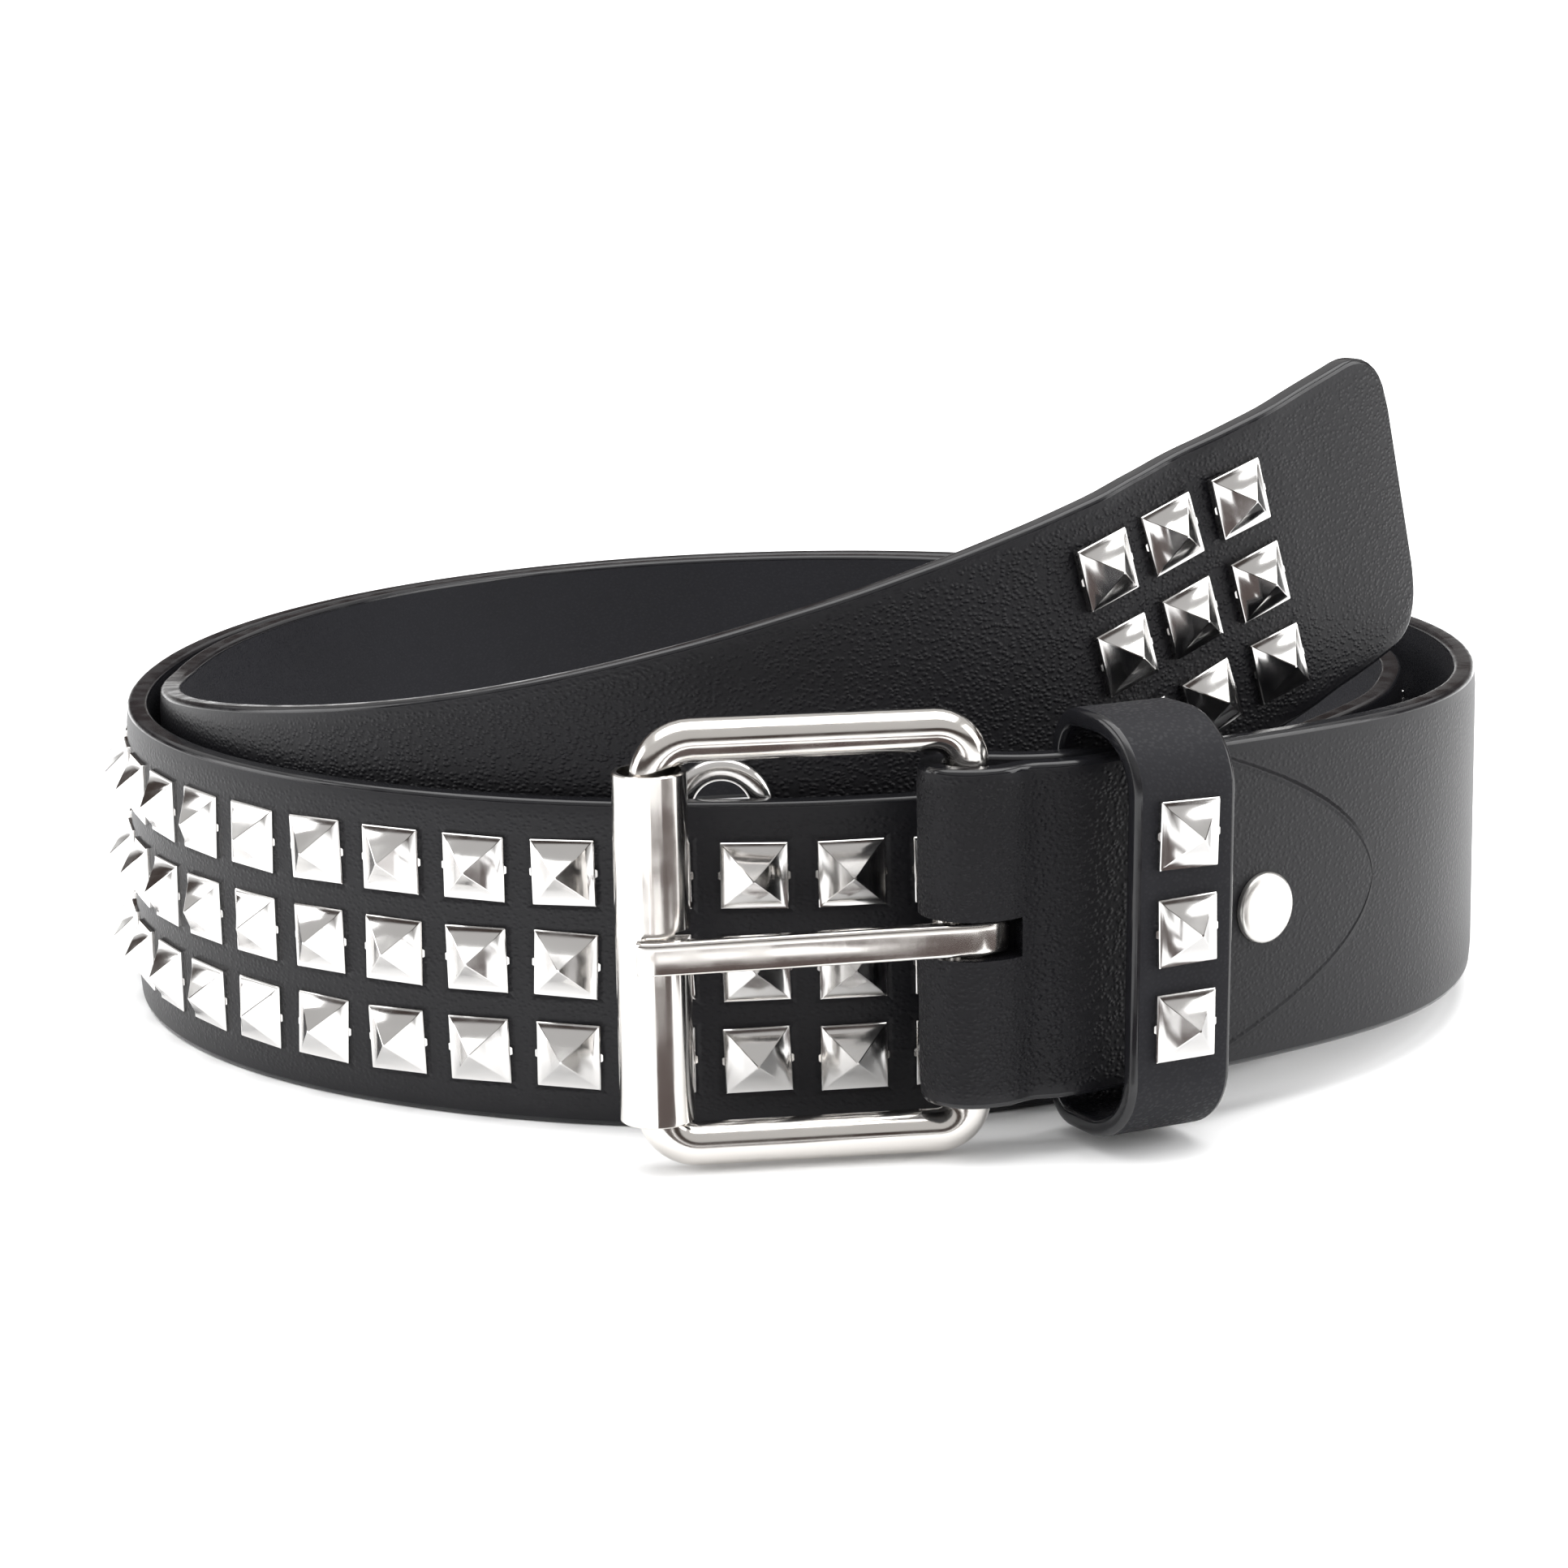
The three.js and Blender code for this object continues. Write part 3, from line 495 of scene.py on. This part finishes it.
# The holes: five for the eyelets and the slot in the fold that the prong turns in
eyelet_first = length_at(621.3)
eyelet_pitch = 25.4
eyelet_places = [strap_at(eyelet_first - i * eyelet_pitch) for i in range(5)]
eyelet_hole = 8.1
prong_width = 3.7
slot_length = 11.8
slot_middle = -1.0
slot_room = 0.7
slot_depth = 13.8
cutters = bmesh.new()
for place in eyelet_places:
    bmesh.ops.create_cone(cutters, cap_ends=True, segments=32, radius1=eyelet_hole / 2,
                          radius2=eyelet_hole / 2, depth=6, matrix=place)
slot_size = Matrix.Diagonal((slot_length, prong_width + slot_room, slot_depth, 1))
slot_box = Matrix.Translation(Vector((slot_middle, 0, 0))) @ slot_size
bar_matrix = Matrix.Translation(bar_point) @ bar_axes.to_3x3().to_4x4()
bmesh.ops.create_cube(cutters, size=1.0, matrix=bar_matrix @ slot_box)
for face in cutters.faces:
    face.material_index = 2
cutter = finished("strap_cutter", cutters, [leather_front, leather_back, leather_edge])
punch = strap.modifiers.new("punch", "BOOLEAN")
punch.operation = "DIFFERENCE"
punch.solver = "EXACT"
punch.object = cutter
level = strap.modifiers.new("level", "WEIGHTED_NORMAL")
level.keep_sharp = True
apply_modifiers(strap)
bpy.data.objects.remove(cutter)

# Pyramid studs
# Pressed nickel-plated pyramids, 7.6 mm square, with a thin rim. Short legs at the left and the right go
# through slits in the leather. Three rows of studs run round most of the strap, and three columns stand
# near the free end.
stud_base = 7.6
# half width and height of each ring of a stud, from its skirt's top to its blunt point
stud_rings = [(3.8, 0.28), (3.7, 0.4), (3.46, 0.46), (2.9, 0.8), (1.5, 1.98), (0.14, 3.12)]
row_pitch = 10.7
ridge_width = 0.07
chance = random.Random(7)


def smooth_by_angle(bm, limit=28):
    for face in bm.faces:
        face.smooth = True
    for edge in bm.edges:
        edge.smooth = len(edge.link_faces) == 2 and edge.calc_face_angle(0) < math.radians(limit)


def stud_shape():
    """Grown from a square: skirt, soft shoulder, narrow ledge, and four faces that flare out at the foot."""
    bm = bmesh.new()
    half = stud_base / 2
    skirt_foot = -0.5
    foot_place = Matrix.Translation((0, 0, skirt_foot))
    bmesh.ops.create_grid(bm, x_segments=1, y_segments=1, size=half, matrix=foot_place)
    grown = bmesh.ops.extrude_face_region(bm, geom=bm.faces[:], use_keep_orig=True)["geom"]
    top = [g for g in grown if isinstance(g, bmesh.types.BMFace)]
    for k, (reach, height) in enumerate(stud_rings):
        if k:
            bmesh.ops.inset_region(bm, faces=top, thickness=0.05)
        for vert in top[0].verts:
            vert.co = (math.copysign(reach, vert.co.x), math.copysign(reach, vert.co.y), height)
    bmesh.ops.recalc_face_normals(bm, faces=bm.faces)
    ridges = [e for e in bm.edges if all(abs(abs(v.co.x) - abs(v.co.y)) < 0.01 for v in e.verts)
              and e.verts[0].co.x * e.verts[1].co.x > 0 and e.verts[0].co.y * e.verts[1].co.y > 0]
    bmesh.ops.bevel(bm, geom=ridges, offset=ridge_width, segments=1, profile=0.5, affect="EDGES", material=-1)
    for x, quarter in ((1, 0), (-1, 180)):
        place = (Matrix.Translation((x * half, 0, -0.05))
                 @ Matrix.Rotation(math.radians(quarter), 4, "Z") @ Matrix.Diagonal((0.5, 1.3, 0.55, 1)))
        leg = bmesh.ops.create_cube(bm, size=1.0, matrix=place)["verts"]
        outer = [v for v in leg if v.co.x * x > half]
        tip = sum((v.co for v in outer), Vector()) / len(outer)
        bmesh.ops.scale(bm, vec=(0.55, 0.55, 0.6), space=Matrix.Translation(-tip), verts=outer)
    smooth_by_angle(bm, 22)
    mesh = bpy.data.meshes.new("stud_shape")
    bm.to_mesh(mesh)
    bm.free()
    return mesh


stud_mesh = stud_shape()


def add_stud(bm, place, lift):
    """A copy of the stud on a place, a little out of true as a hand press leaves it."""
    kept = set(bm.verts)
    bm.from_mesh(stud_mesh)
    tilt_angle = math.radians(chance.gauss(0, 1.1))
    tilt = Matrix.Rotation(tilt_angle, 4, (chance.uniform(-1, 1), chance.uniform(-1, 1), 0.4))
    turn = Matrix.Rotation(math.radians(chance.gauss(0, 0.9)), 4, "Z")
    verts = [v for v in bm.verts if v not in kept]
    bmesh.ops.transform(bm, matrix=place @ Matrix.Translation((0, 0, lift)) @ tilt @ turn, verts=verts)


def plate_finish(name, color, rough, spread, scratch):
    """Nickel plate: uneven polish and hair scratches."""
    material, tree, shader = new_material(name, color, rough, 1.0)
    made = put(tree, "ShaderNodeGroup", node_tree=polish)
    tree.links.new(ramp(tree, made.outputs["Haze"], 0.3, 0.75, rough, rough + spread), shader["Roughness"])
    bump = put(tree, "ShaderNodeBump", Strength=0.5, Distance=scratch, Height=made.outputs["Height"])
    tree.links.new(bump.outputs["Normal"], shader["Normal"])
    return material


polish, given, result = new_group("plate_polish", [], ["Haze", "Height"])
where = put(polish, "ShaderNodeTexCoord").outputs["Object"]
haze = put(polish, "ShaderNodeTexNoise", Vector=where, Scale=210.0, Detail=4.0).outputs[0]
stretch = put(polish, "ShaderNodeMapping", Vector=where, Rotation=(0.3, 0.5, 0.2),
              Scale=(900, 900, 60)).outputs[0]
hair = put(polish, "ShaderNodeTexNoise", Vector=stretch, Scale=1.0, Detail=3.0).outputs[0]
wave = put(polish, "ShaderNodeTexNoise", Vector=where, Scale=160.0, Detail=1.0).outputs[0]
polish.links.new(haze, result["Haze"])
polish.links.new(sums(polish, "MULTIPLY_ADD", wave, 3.0, hair), result["Height"])
nickel_stud = plate_finish("nickel_stud", (0.68, 0.67, 0.66), 0.1, 0.13, 0.00001)


def row_place(place, row):
    return place @ Matrix.Translation((0, (row - 1) * row_pitch, strap_thick / 2))


bm = bmesh.new()
for column in range(field_columns):
    place = strap_at(field_first + column * stud_pitch)
    for row in range(3):
        add_stud(bm, row_place(place, row), 0.0)
finished("field_studs", bm, [nickel_stud])

bm = bmesh.new()
tip_stud_gap = 0.45
tip_nodes = []
for column in range(3):
    place = strap_at(tip_middle + (column - 1) * stud_pitch)
    for row in range(3):
        add_stud(bm, row_place(place, row), tip_stud_gap)
        tip_nodes.append(f"tip_stud_{column + 1}_{row + 1}")
finished("tip_studs", bm, [nickel_stud], nodes=tip_nodes)

# Eyelets
# Five nickel eyelets for the prong, an inch apart. Each is a barrel through the strap with a domed flange
# in front and a rolled one behind.


def turned(profile, steps, place):
    """A closed profile of (radius, height) points spun round the place's out axis."""
    bm = bmesh.new()
    verts = [bm.verts.new((radius, 0, height)) for radius, height in profile]
    edges = [bm.edges.new((verts[i], verts[(i + 1) % len(verts)])) for i in range(len(verts))]
    bmesh.ops.spin(bm, geom=verts + edges, cent=(0, 0, 0), axis=(0, 0, 1), angle=math.tau, steps=steps,
                   use_merge=True, use_duplicate=False)
    bmesh.ops.remove_doubles(bm, verts=bm.verts, dist=0.0005)
    bmesh.ops.recalc_face_normals(bm, faces=bm.faces)
    smooth_by_angle(bm, 40)
    bmesh.ops.transform(bm, matrix=place, verts=bm.verts)
    return bm


def merged(parts):
    whole = bmesh.new()
    for part in parts:
        mesh = bpy.data.meshes.new("part")
        part.to_mesh(mesh)
        part.free()
        whole.from_mesh(mesh)
        bpy.data.meshes.remove(mesh)
    return whole


front, back = strap_thick / 2 + 0.05, -strap_thick / 2 - 0.05
eyelet_profile = [
    (3.25, front + 0.3), (3.4, front + 0.62), (3.75, front + 0.86), (4.3, front + 0.95), (4.95, front + 0.84),
    (5.45, front + 0.55), (5.78, front + 0.2), (5.85, front), (3.85, front), (3.85, back), (5.85, back - 0.3),
    (5.75, back - 0.75), (5.3, back - 1.1), (4.5, back - 1.25), (3.8, back - 1.15), (3.25, back - 0.7),
]
eyelets = merged([turned(eyelet_profile, 48, place) for place in eyelet_places])
finished("eyelets", eyelets, [nickel_stud], nodes=[f"eyelet_{i}" for i in range(1, 6)])

# Buckle frame
# Round nickel-plated wire, 4.8 mm thick, bent to a rectangle with rounded corners. Its bar lies in the
# fold of the strap and its ends meet there.
wire = 4.8
frame_inside = 40.4
frame_half = frame_inside / 2 + wire / 2
buckle_out = Vector((-aside.y, aside.x, 0))
buckle = Matrix.Translation(bar_point) @ Matrix((aside, buckle_out, (0, 0, 1))).transposed().to_4x4()
frame_corners = [
    (3.6, -frame_half + 3.6, 3.6, 180), (frame_span - 4.5, -frame_half + 4.5, 4.5, 270),
    (frame_span - 4.5, frame_half - 4.5, 4.5, 0), (3.6, frame_half - 3.6, 3.6, 90),
]
wire_sides = 24
wire_turns = [math.tau * k / wire_sides for k in range(wire_sides)]
wire_round = [(math.cos(angle) * wire / 2, math.sin(angle) * wire / 2) for angle in wire_turns]
wire_places = []
for x, z, radius, start in frame_corners:
    for i in range(11):
        angle = math.radians(start + 9 * i)
        toward = Vector((math.cos(angle), 0, math.sin(angle)))
        basis = Matrix((Vector((-toward.z, 0, toward.x)), toward, Vector((0, 1, 0)))).transposed().to_4x4()
        wire_places.append(buckle @ Matrix.Translation(Vector((x, 0, z)) + toward * radius) @ basis)
wire_places.append(wire_places[0])
nickel_wire = plate_finish("nickel_wire", (0.75, 0.725, 0.695), 0.11, 0.1, 0.000012)
bm = swept(wire_places, [wire_round] * len(wire_places), closed=True)
for face in bm.faces:
    face.material_index = 0
finished("buckle_wire", bm, [nickel_wire], body="buckle_frame", nodes=["frame"])

# Roller
# A tube of thin nickel-plated sheet rolled round the outer side of the frame. It turns freely, and it is
# notched where the prong comes down.
roller_outer = 4.1
roller_inner = 3.5
roller_half = frame_inside / 2 - 0.7
end_soft = 0.15
notch_height = 4.6
roller_profile = [
    (roller_inner, -roller_half), (roller_outer - end_soft, -roller_half),
    (roller_outer, -roller_half + end_soft), (roller_outer, roller_half - end_soft),
    (roller_outer - end_soft, roller_half), (roller_inner, roller_half),
]
roller_place = buckle @ Matrix.Translation((frame_span, 0, 0))
seam_turn = math.radians(2.5)
seam_place = math.radians(200)
bm = bmesh.new()
verts = [bm.verts.new((radius, 0, height)) for radius, height in roller_profile]
wall = bm.faces.new(verts)
bmesh.ops.spin(bm, geom=[wall] + wall.edges[:] + verts, cent=(0, 0, 0), axis=(0, 0, 1),
               angle=math.tau - seam_turn, steps=64, use_merge=False, use_duplicate=False)
bmesh.ops.recalc_face_normals(bm, faces=bm.faces)
smooth_by_angle(bm, 40)
bmesh.ops.transform(bm, matrix=roller_place @ Matrix.Rotation(seam_place, 4, "Z"), verts=bm.verts)
roller = finished("roller_tube", bm, [nickel_wire], body="buckle_roller", nodes=["roller"])
notch = bmesh.new()
notch_size = Matrix.Diagonal((roller_outer, 12, notch_height, 1))
notch_box = roller_place @ Matrix.Translation((-roller_outer, 0, 0)) @ notch_size
bmesh.ops.create_cube(notch, size=1.0, matrix=notch_box)
cutter = finished("roller_cutter", notch, [nickel_wire], body="buckle_roller")
cut = roller.modifiers.new("cut", "BOOLEAN")
cut.operation = "DIFFERENCE"
cut.solver = "EXACT"
cut.object = cutter
apply_modifiers(roller)
bpy.data.objects.remove(cutter)

# Prong
# A flat nickel-plated bar with softened edges. It is curled round the bar inside the fold, turns out
# through the slot, and rests over the front of the roller.
prong_thick = 1.9
curl = wire / 2 + 0.3 + prong_thick / 2
over = roller_outer + 0.3 + prong_thick / 2
prong_path = []
for i in range(25):
    angle = math.radians(130 + 230 * i / 24)
    prong_path.append(Vector((math.sin(angle) * curl, math.cos(angle) * curl, 0)))
lead = prong_path[-1]
landing = Vector((frame_span, over, 0))
prong_path += [lead.lerp(landing, k / 12) for k in range(1, 12)]
tip_angle = math.radians(12)
for i in range(7):
    angle = tip_angle * i / 6
    prong_path.append(Vector((frame_span + math.sin(angle) * over, math.cos(angle) * over, 0)))
tip_start = prong_path[-1]
tip_length = 2.2 - math.sin(tip_angle) * over
prong_path.append(tip_start + Vector((tip_length, -tip_length * math.tan(tip_angle), 0)))
prong_places = []
for i, point in enumerate(prong_path):
    ahead = (prong_path[min(i + 1, len(prong_path) - 1)] - prong_path[max(i - 1, 0)]).normalized()
    basis = Matrix((ahead, Vector((0, 0, 1)), Vector((-ahead.y, ahead.x, 0)))).transposed().to_4x4()
    prong_places.append(buckle @ Matrix.Translation(point) @ basis)
prong_section = strap_outline(prong_width / 2, prong_thick / 2, 0.4, shoulder=0.9, drop=0.05)
bm = swept(prong_places, [prong_section] * len(prong_places))
for face in bm.faces:
    face.material_index = 0
finished("prong_bar", bm, [nickel_wire], body="buckle_prong", nodes=["prong"])

# Keeper
# A loose loop of the same leather, 13 mm wide, that holds the free end down. It stands well off the strap
# in front and carries three studs of its own.
keeper_place = strap_at(19.5)
keeper_width = 13
keeper_thick = 2.3
front_room, back_room, side_room = 6.4, 0.6, 2.5
keeper_front = strap_thick / 2 + front_room + keeper_thick / 2
keeper_back = -(strap_thick * 1.5 + layer_gap + back_room + keeper_thick / 2)
keeper_side = strap_width / 2 + side_room + keeper_thick / 2
keeper_corners = [
    (keeper_front, keeper_side, 8, 7, 0), (keeper_back, keeper_side, 3.6, 4.5, 90),
    (keeper_back, -keeper_side, 3.6, 4.5, 180), (keeper_front, -keeper_side, 8, 7, 270),
]
loop = []
for x, y, deep, tall, start in keeper_corners:
    for i in range(13):
        angle = math.radians(start + 90 * i / 12)
        loop.append(Vector((0, y - math.copysign(tall, y) + math.sin(angle) * tall,
                            x - math.copysign(deep, x) + math.cos(angle) * deep)))
fine_loop = []
for i, point in enumerate(loop):
    following = loop[(i + 1) % len(loop)]
    parts = max(1, round((following - point).length / 2))
    fine_loop += [point.lerp(following, k / parts) for k in range(parts)]
loop_places = []
for i, point in enumerate(fine_loop):
    ahead = (fine_loop[(i + 1) % len(fine_loop)] - fine_loop[i - 1]).normalized()
    basis = Matrix((ahead, Vector((1, 0, 0)), ahead.cross(Vector((1, 0, 0))))).transposed().to_4x4()
    loop_places.append(keeper_place @ Matrix.Translation(point) @ basis)
loop_places.append(loop_places[0])
loop_section = strap_outline(keeper_width / 2, keeper_thick / 2, 0.7, shoulder=1.8, drop=0.12)


def keeper_relief(tree):
    """Grain all over, as strong as on the fold, but none beside the edges."""
    uv = put(tree, "ShaderNodeUVMap", uv_map="strap").outputs["UV"]
    across = put(tree, "ShaderNodeSeparateXYZ", Vector=uv).outputs["Y"]
    return ramp(tree, sums(tree, "ABSOLUTE", across), 0.0045, 0.0058, 0.9, 0.1), 0.0


keeper_black = (0.0068, 0.0066, 0.0082)
leather_keeper = leather_finish("leather_keeper", keeper_black, 0.4, 1550.0, grain_depth, keeper_relief)
bm = swept(loop_places, [loop_section] * len(loop_places), closed=True)
keeper = finished("keeper_loop", bm, [leather_keeper, leather_back, leather_edge], nodes=["keeper"])
level = keeper.modifiers.new("level", "WEIGHTED_NORMAL")
level.keep_sharp = True

keeper_studs_rise = 0.9
keeper_stud_foot = keeper_front + keeper_thick / 2 + layer_gap
bm = bmesh.new()
for row in range(3):
    rise = (row - 1) * row_pitch + keeper_studs_rise
    add_stud(bm, keeper_place @ Matrix.Translation((0, rise, keeper_stud_foot)), 0.0)
finished("keeper_studs", bm, [nickel_stud], nodes=[f"keeper_stud_{i}" for i in (1, 2, 3)])

# Rivet
# A flat-headed nickel rivet that holds the folded strap and its tongue together.
rivet_from_bar, rivet_rise = 37.2, -0.9
rivet_place = strap_at(rivet_from_bar) @ Matrix.Translation((0, rivet_rise, 0))
tail = -(strap_thick * 1.5 + layer_gap)
rivet_profile = [
    (0, tail - 0.9), (2.9, tail - 0.9), (3.4, tail - 0.55), (3.5, tail), (1.7, tail), (1.7, front),
    (4.1, front), (4.1, front + 0.45), (4.0, front + 0.72), (3.75, front + 0.9), (3.3, front + 1.0),
    (0, front + 1.08),
]
nickel_satin = plate_finish("nickel_satin", (0.80, 0.785, 0.755), 0.3, 0.12, 0.00001)
bm = turned(rivet_profile, 48, rivet_place)
finished("rivet_head", bm, [nickel_satin], nodes=["rivet"])

# Floor, light and camera
# A plain white table top under soft studio lamps, seen from the photograph's side.
bm = bmesh.new()
bmesh.ops.create_grid(bm, x_segments=1, y_segments=1, size=14.0)
mesh = bpy.data.meshes.new("floor")
bm.to_mesh(mesh)
bm.free()
floor = bpy.data.objects.new("floor", mesh)
bpy.context.scene.collection.objects.link(floor)
floor_white, _, floor_shader = new_material("floor_white", (0.93, 0.93, 0.93), 0.6)
floor_shader["Specular IOR Level"].default_value = 0.0
mesh.materials.append(floor_white)


def soft_lamp(name, place, target, width, height, power):
    data = bpy.data.lights.new(name, "AREA")
    data.shape = "RECTANGLE"
    data.size, data.size_y, data.energy = width, height, power
    lamp = bpy.data.objects.new(name, data)
    lamp.location = place
    lamp.rotation_euler = (Vector(target) - Vector(place)).to_track_quat("-Z", "Y").to_euler()
    bpy.context.scene.collection.objects.link(lamp)


soft_lamp("lamp_top", (0, 0.05, 1.1), (0, 0.05, 0), 1.7, 1.0, 16)
soft_lamp("lamp_left", (-1.3, 0.1, 0.45), (0, 0, 0.03), 0.8, 0.7, 5)
soft_lamp("lamp_right", (1.25, -0.1, 0.5), (0, 0, 0.03), 0.7, 0.9, 6)

# Flags on the table that only reflections show, in mm; they give bright metal its dark streaks
flag_brown = new_material("flag_brown", (0.045, 0.03, 0.027), 0.9)[0]
flag_grey = new_material("flag_grey", (0.3, 0.27, 0.26), 0.9)[0]
flags = (
    ("flag_right", flag_brown, ((4, -122), (52, -190), (140, -290), (200, -250), (80, -160), (20, -118))),
    ("flag_side", flag_brown, ((60, -102), (150, -106), (200, -150), (200, -250), (80, -160))),
    ("flag_near", flag_brown, ((-14, -112), (-10, -187), (27, -177), (57, -152), (5, -108))),
    ("flag_far", flag_brown, ((-8, -230), (-5, -286), (72, -266), (134, -215), (90, -180), (47, -215))),
    ("flag_prong", flag_brown, ((42, -188), (75, -188), (75, -215), (46, -215))),
    ("flag_left", flag_brown, ((-75, -225), (-30, -225), (-30, -200), (-75, -200))),
    ("flag_keeper", flag_grey, ((-20, -190), (4, -192), (-4, -226), (-30, -250))),
)
for k, (name, material, outline) in enumerate(flags):
    bm = bmesh.new()
    bm.faces.new([bm.verts.new((x * MM, y * MM, (0.3 + 0.02 * k) * MM)) for x, y in outline])
    bmesh.ops.recalc_face_normals(bm, faces=bm.faces)
    mesh = bpy.data.meshes.new(name)
    bm.to_mesh(mesh)
    bm.free()
    mesh.materials.append(material)
    flag = bpy.data.objects.new(name, mesh)
    bpy.context.scene.collection.objects.link(flag)
    flag.visible_camera = flag.visible_diffuse = flag.visible_shadow = False

world = bpy.data.worlds.new("studio")
bpy.context.scene.world = world
world.use_nodes = True
sky = world.node_tree
sky.nodes.clear()
# Painted reflection: the world is plain white to the camera and in the light it gives, but reflections alone
# see a grey room with a dark brown band a little above the horizon, on the metal and the leather alike.
path = put(sky, "ShaderNodeLightPath").outputs["Is Glossy Ray"]
plain = put(sky, "ShaderNodeBackground", Color=(1, 1, 1, 1), Strength=1.25).outputs[0]
toward = put(sky, "ShaderNodeTexCoord").outputs["Generated"]
rise = put(sky, "ShaderNodeSeparateXYZ", Vector=toward).outputs["Z"]
dark_reflection_band = sums(sky, "MULTIPLY", ramp(sky, rise, 0.06, 0.1), ramp(sky, rise, 0.3, 0.4, 1.0, 0.0))
painted_reflection_color = put(sky, "ShaderNodeMix", data_type="RGBA", i0=dark_reflection_band, i6=(0.62, 0.61, 0.6, 1),
                 i7=(0.06, 0.045, 0.04, 1))
room = put(sky, "ShaderNodeBackground", Color=painted_reflection_color.outputs[2], Strength=1.0).outputs[0]
mixed = put(sky, "ShaderNodeMixShader", i0=path, i1=plain, i2=room).outputs[0]
put(sky, "ShaderNodeOutputWorld", Surface=mixed)

elevation, roll = math.radians(12.49), math.radians(1.07)
focal_pixels, picture_pixels = 4800, 1932
camera_aim = (-5.22, 0, 20.97)
camera_distance = 521.6
away = Vector((0, -math.cos(elevation), math.sin(elevation)))
level_x, level_y = Vector((1, 0, 0)), Vector((0, math.sin(elevation), math.cos(elevation)))
camera_x = level_x * math.cos(roll) - level_y * math.sin(roll)
camera_y = level_x * math.sin(roll) + level_y * math.cos(roll)
data = bpy.data.cameras.new("camera")
data.sensor_width = 36.0
data.lens = data.sensor_width * focal_pixels / picture_pixels
camera = bpy.data.objects.new("camera", data)
station = (Vector(camera_aim) + away * camera_distance) * MM + plan_shift
camera.matrix_world = Matrix.Translation(station) @ Matrix((camera_x, camera_y, away)).transposed().to_4x4()
bpy.context.scene.collection.objects.link(camera)
bpy.context.scene.camera = camera
bpy.context.scene.view_settings.view_transform = "Standard"
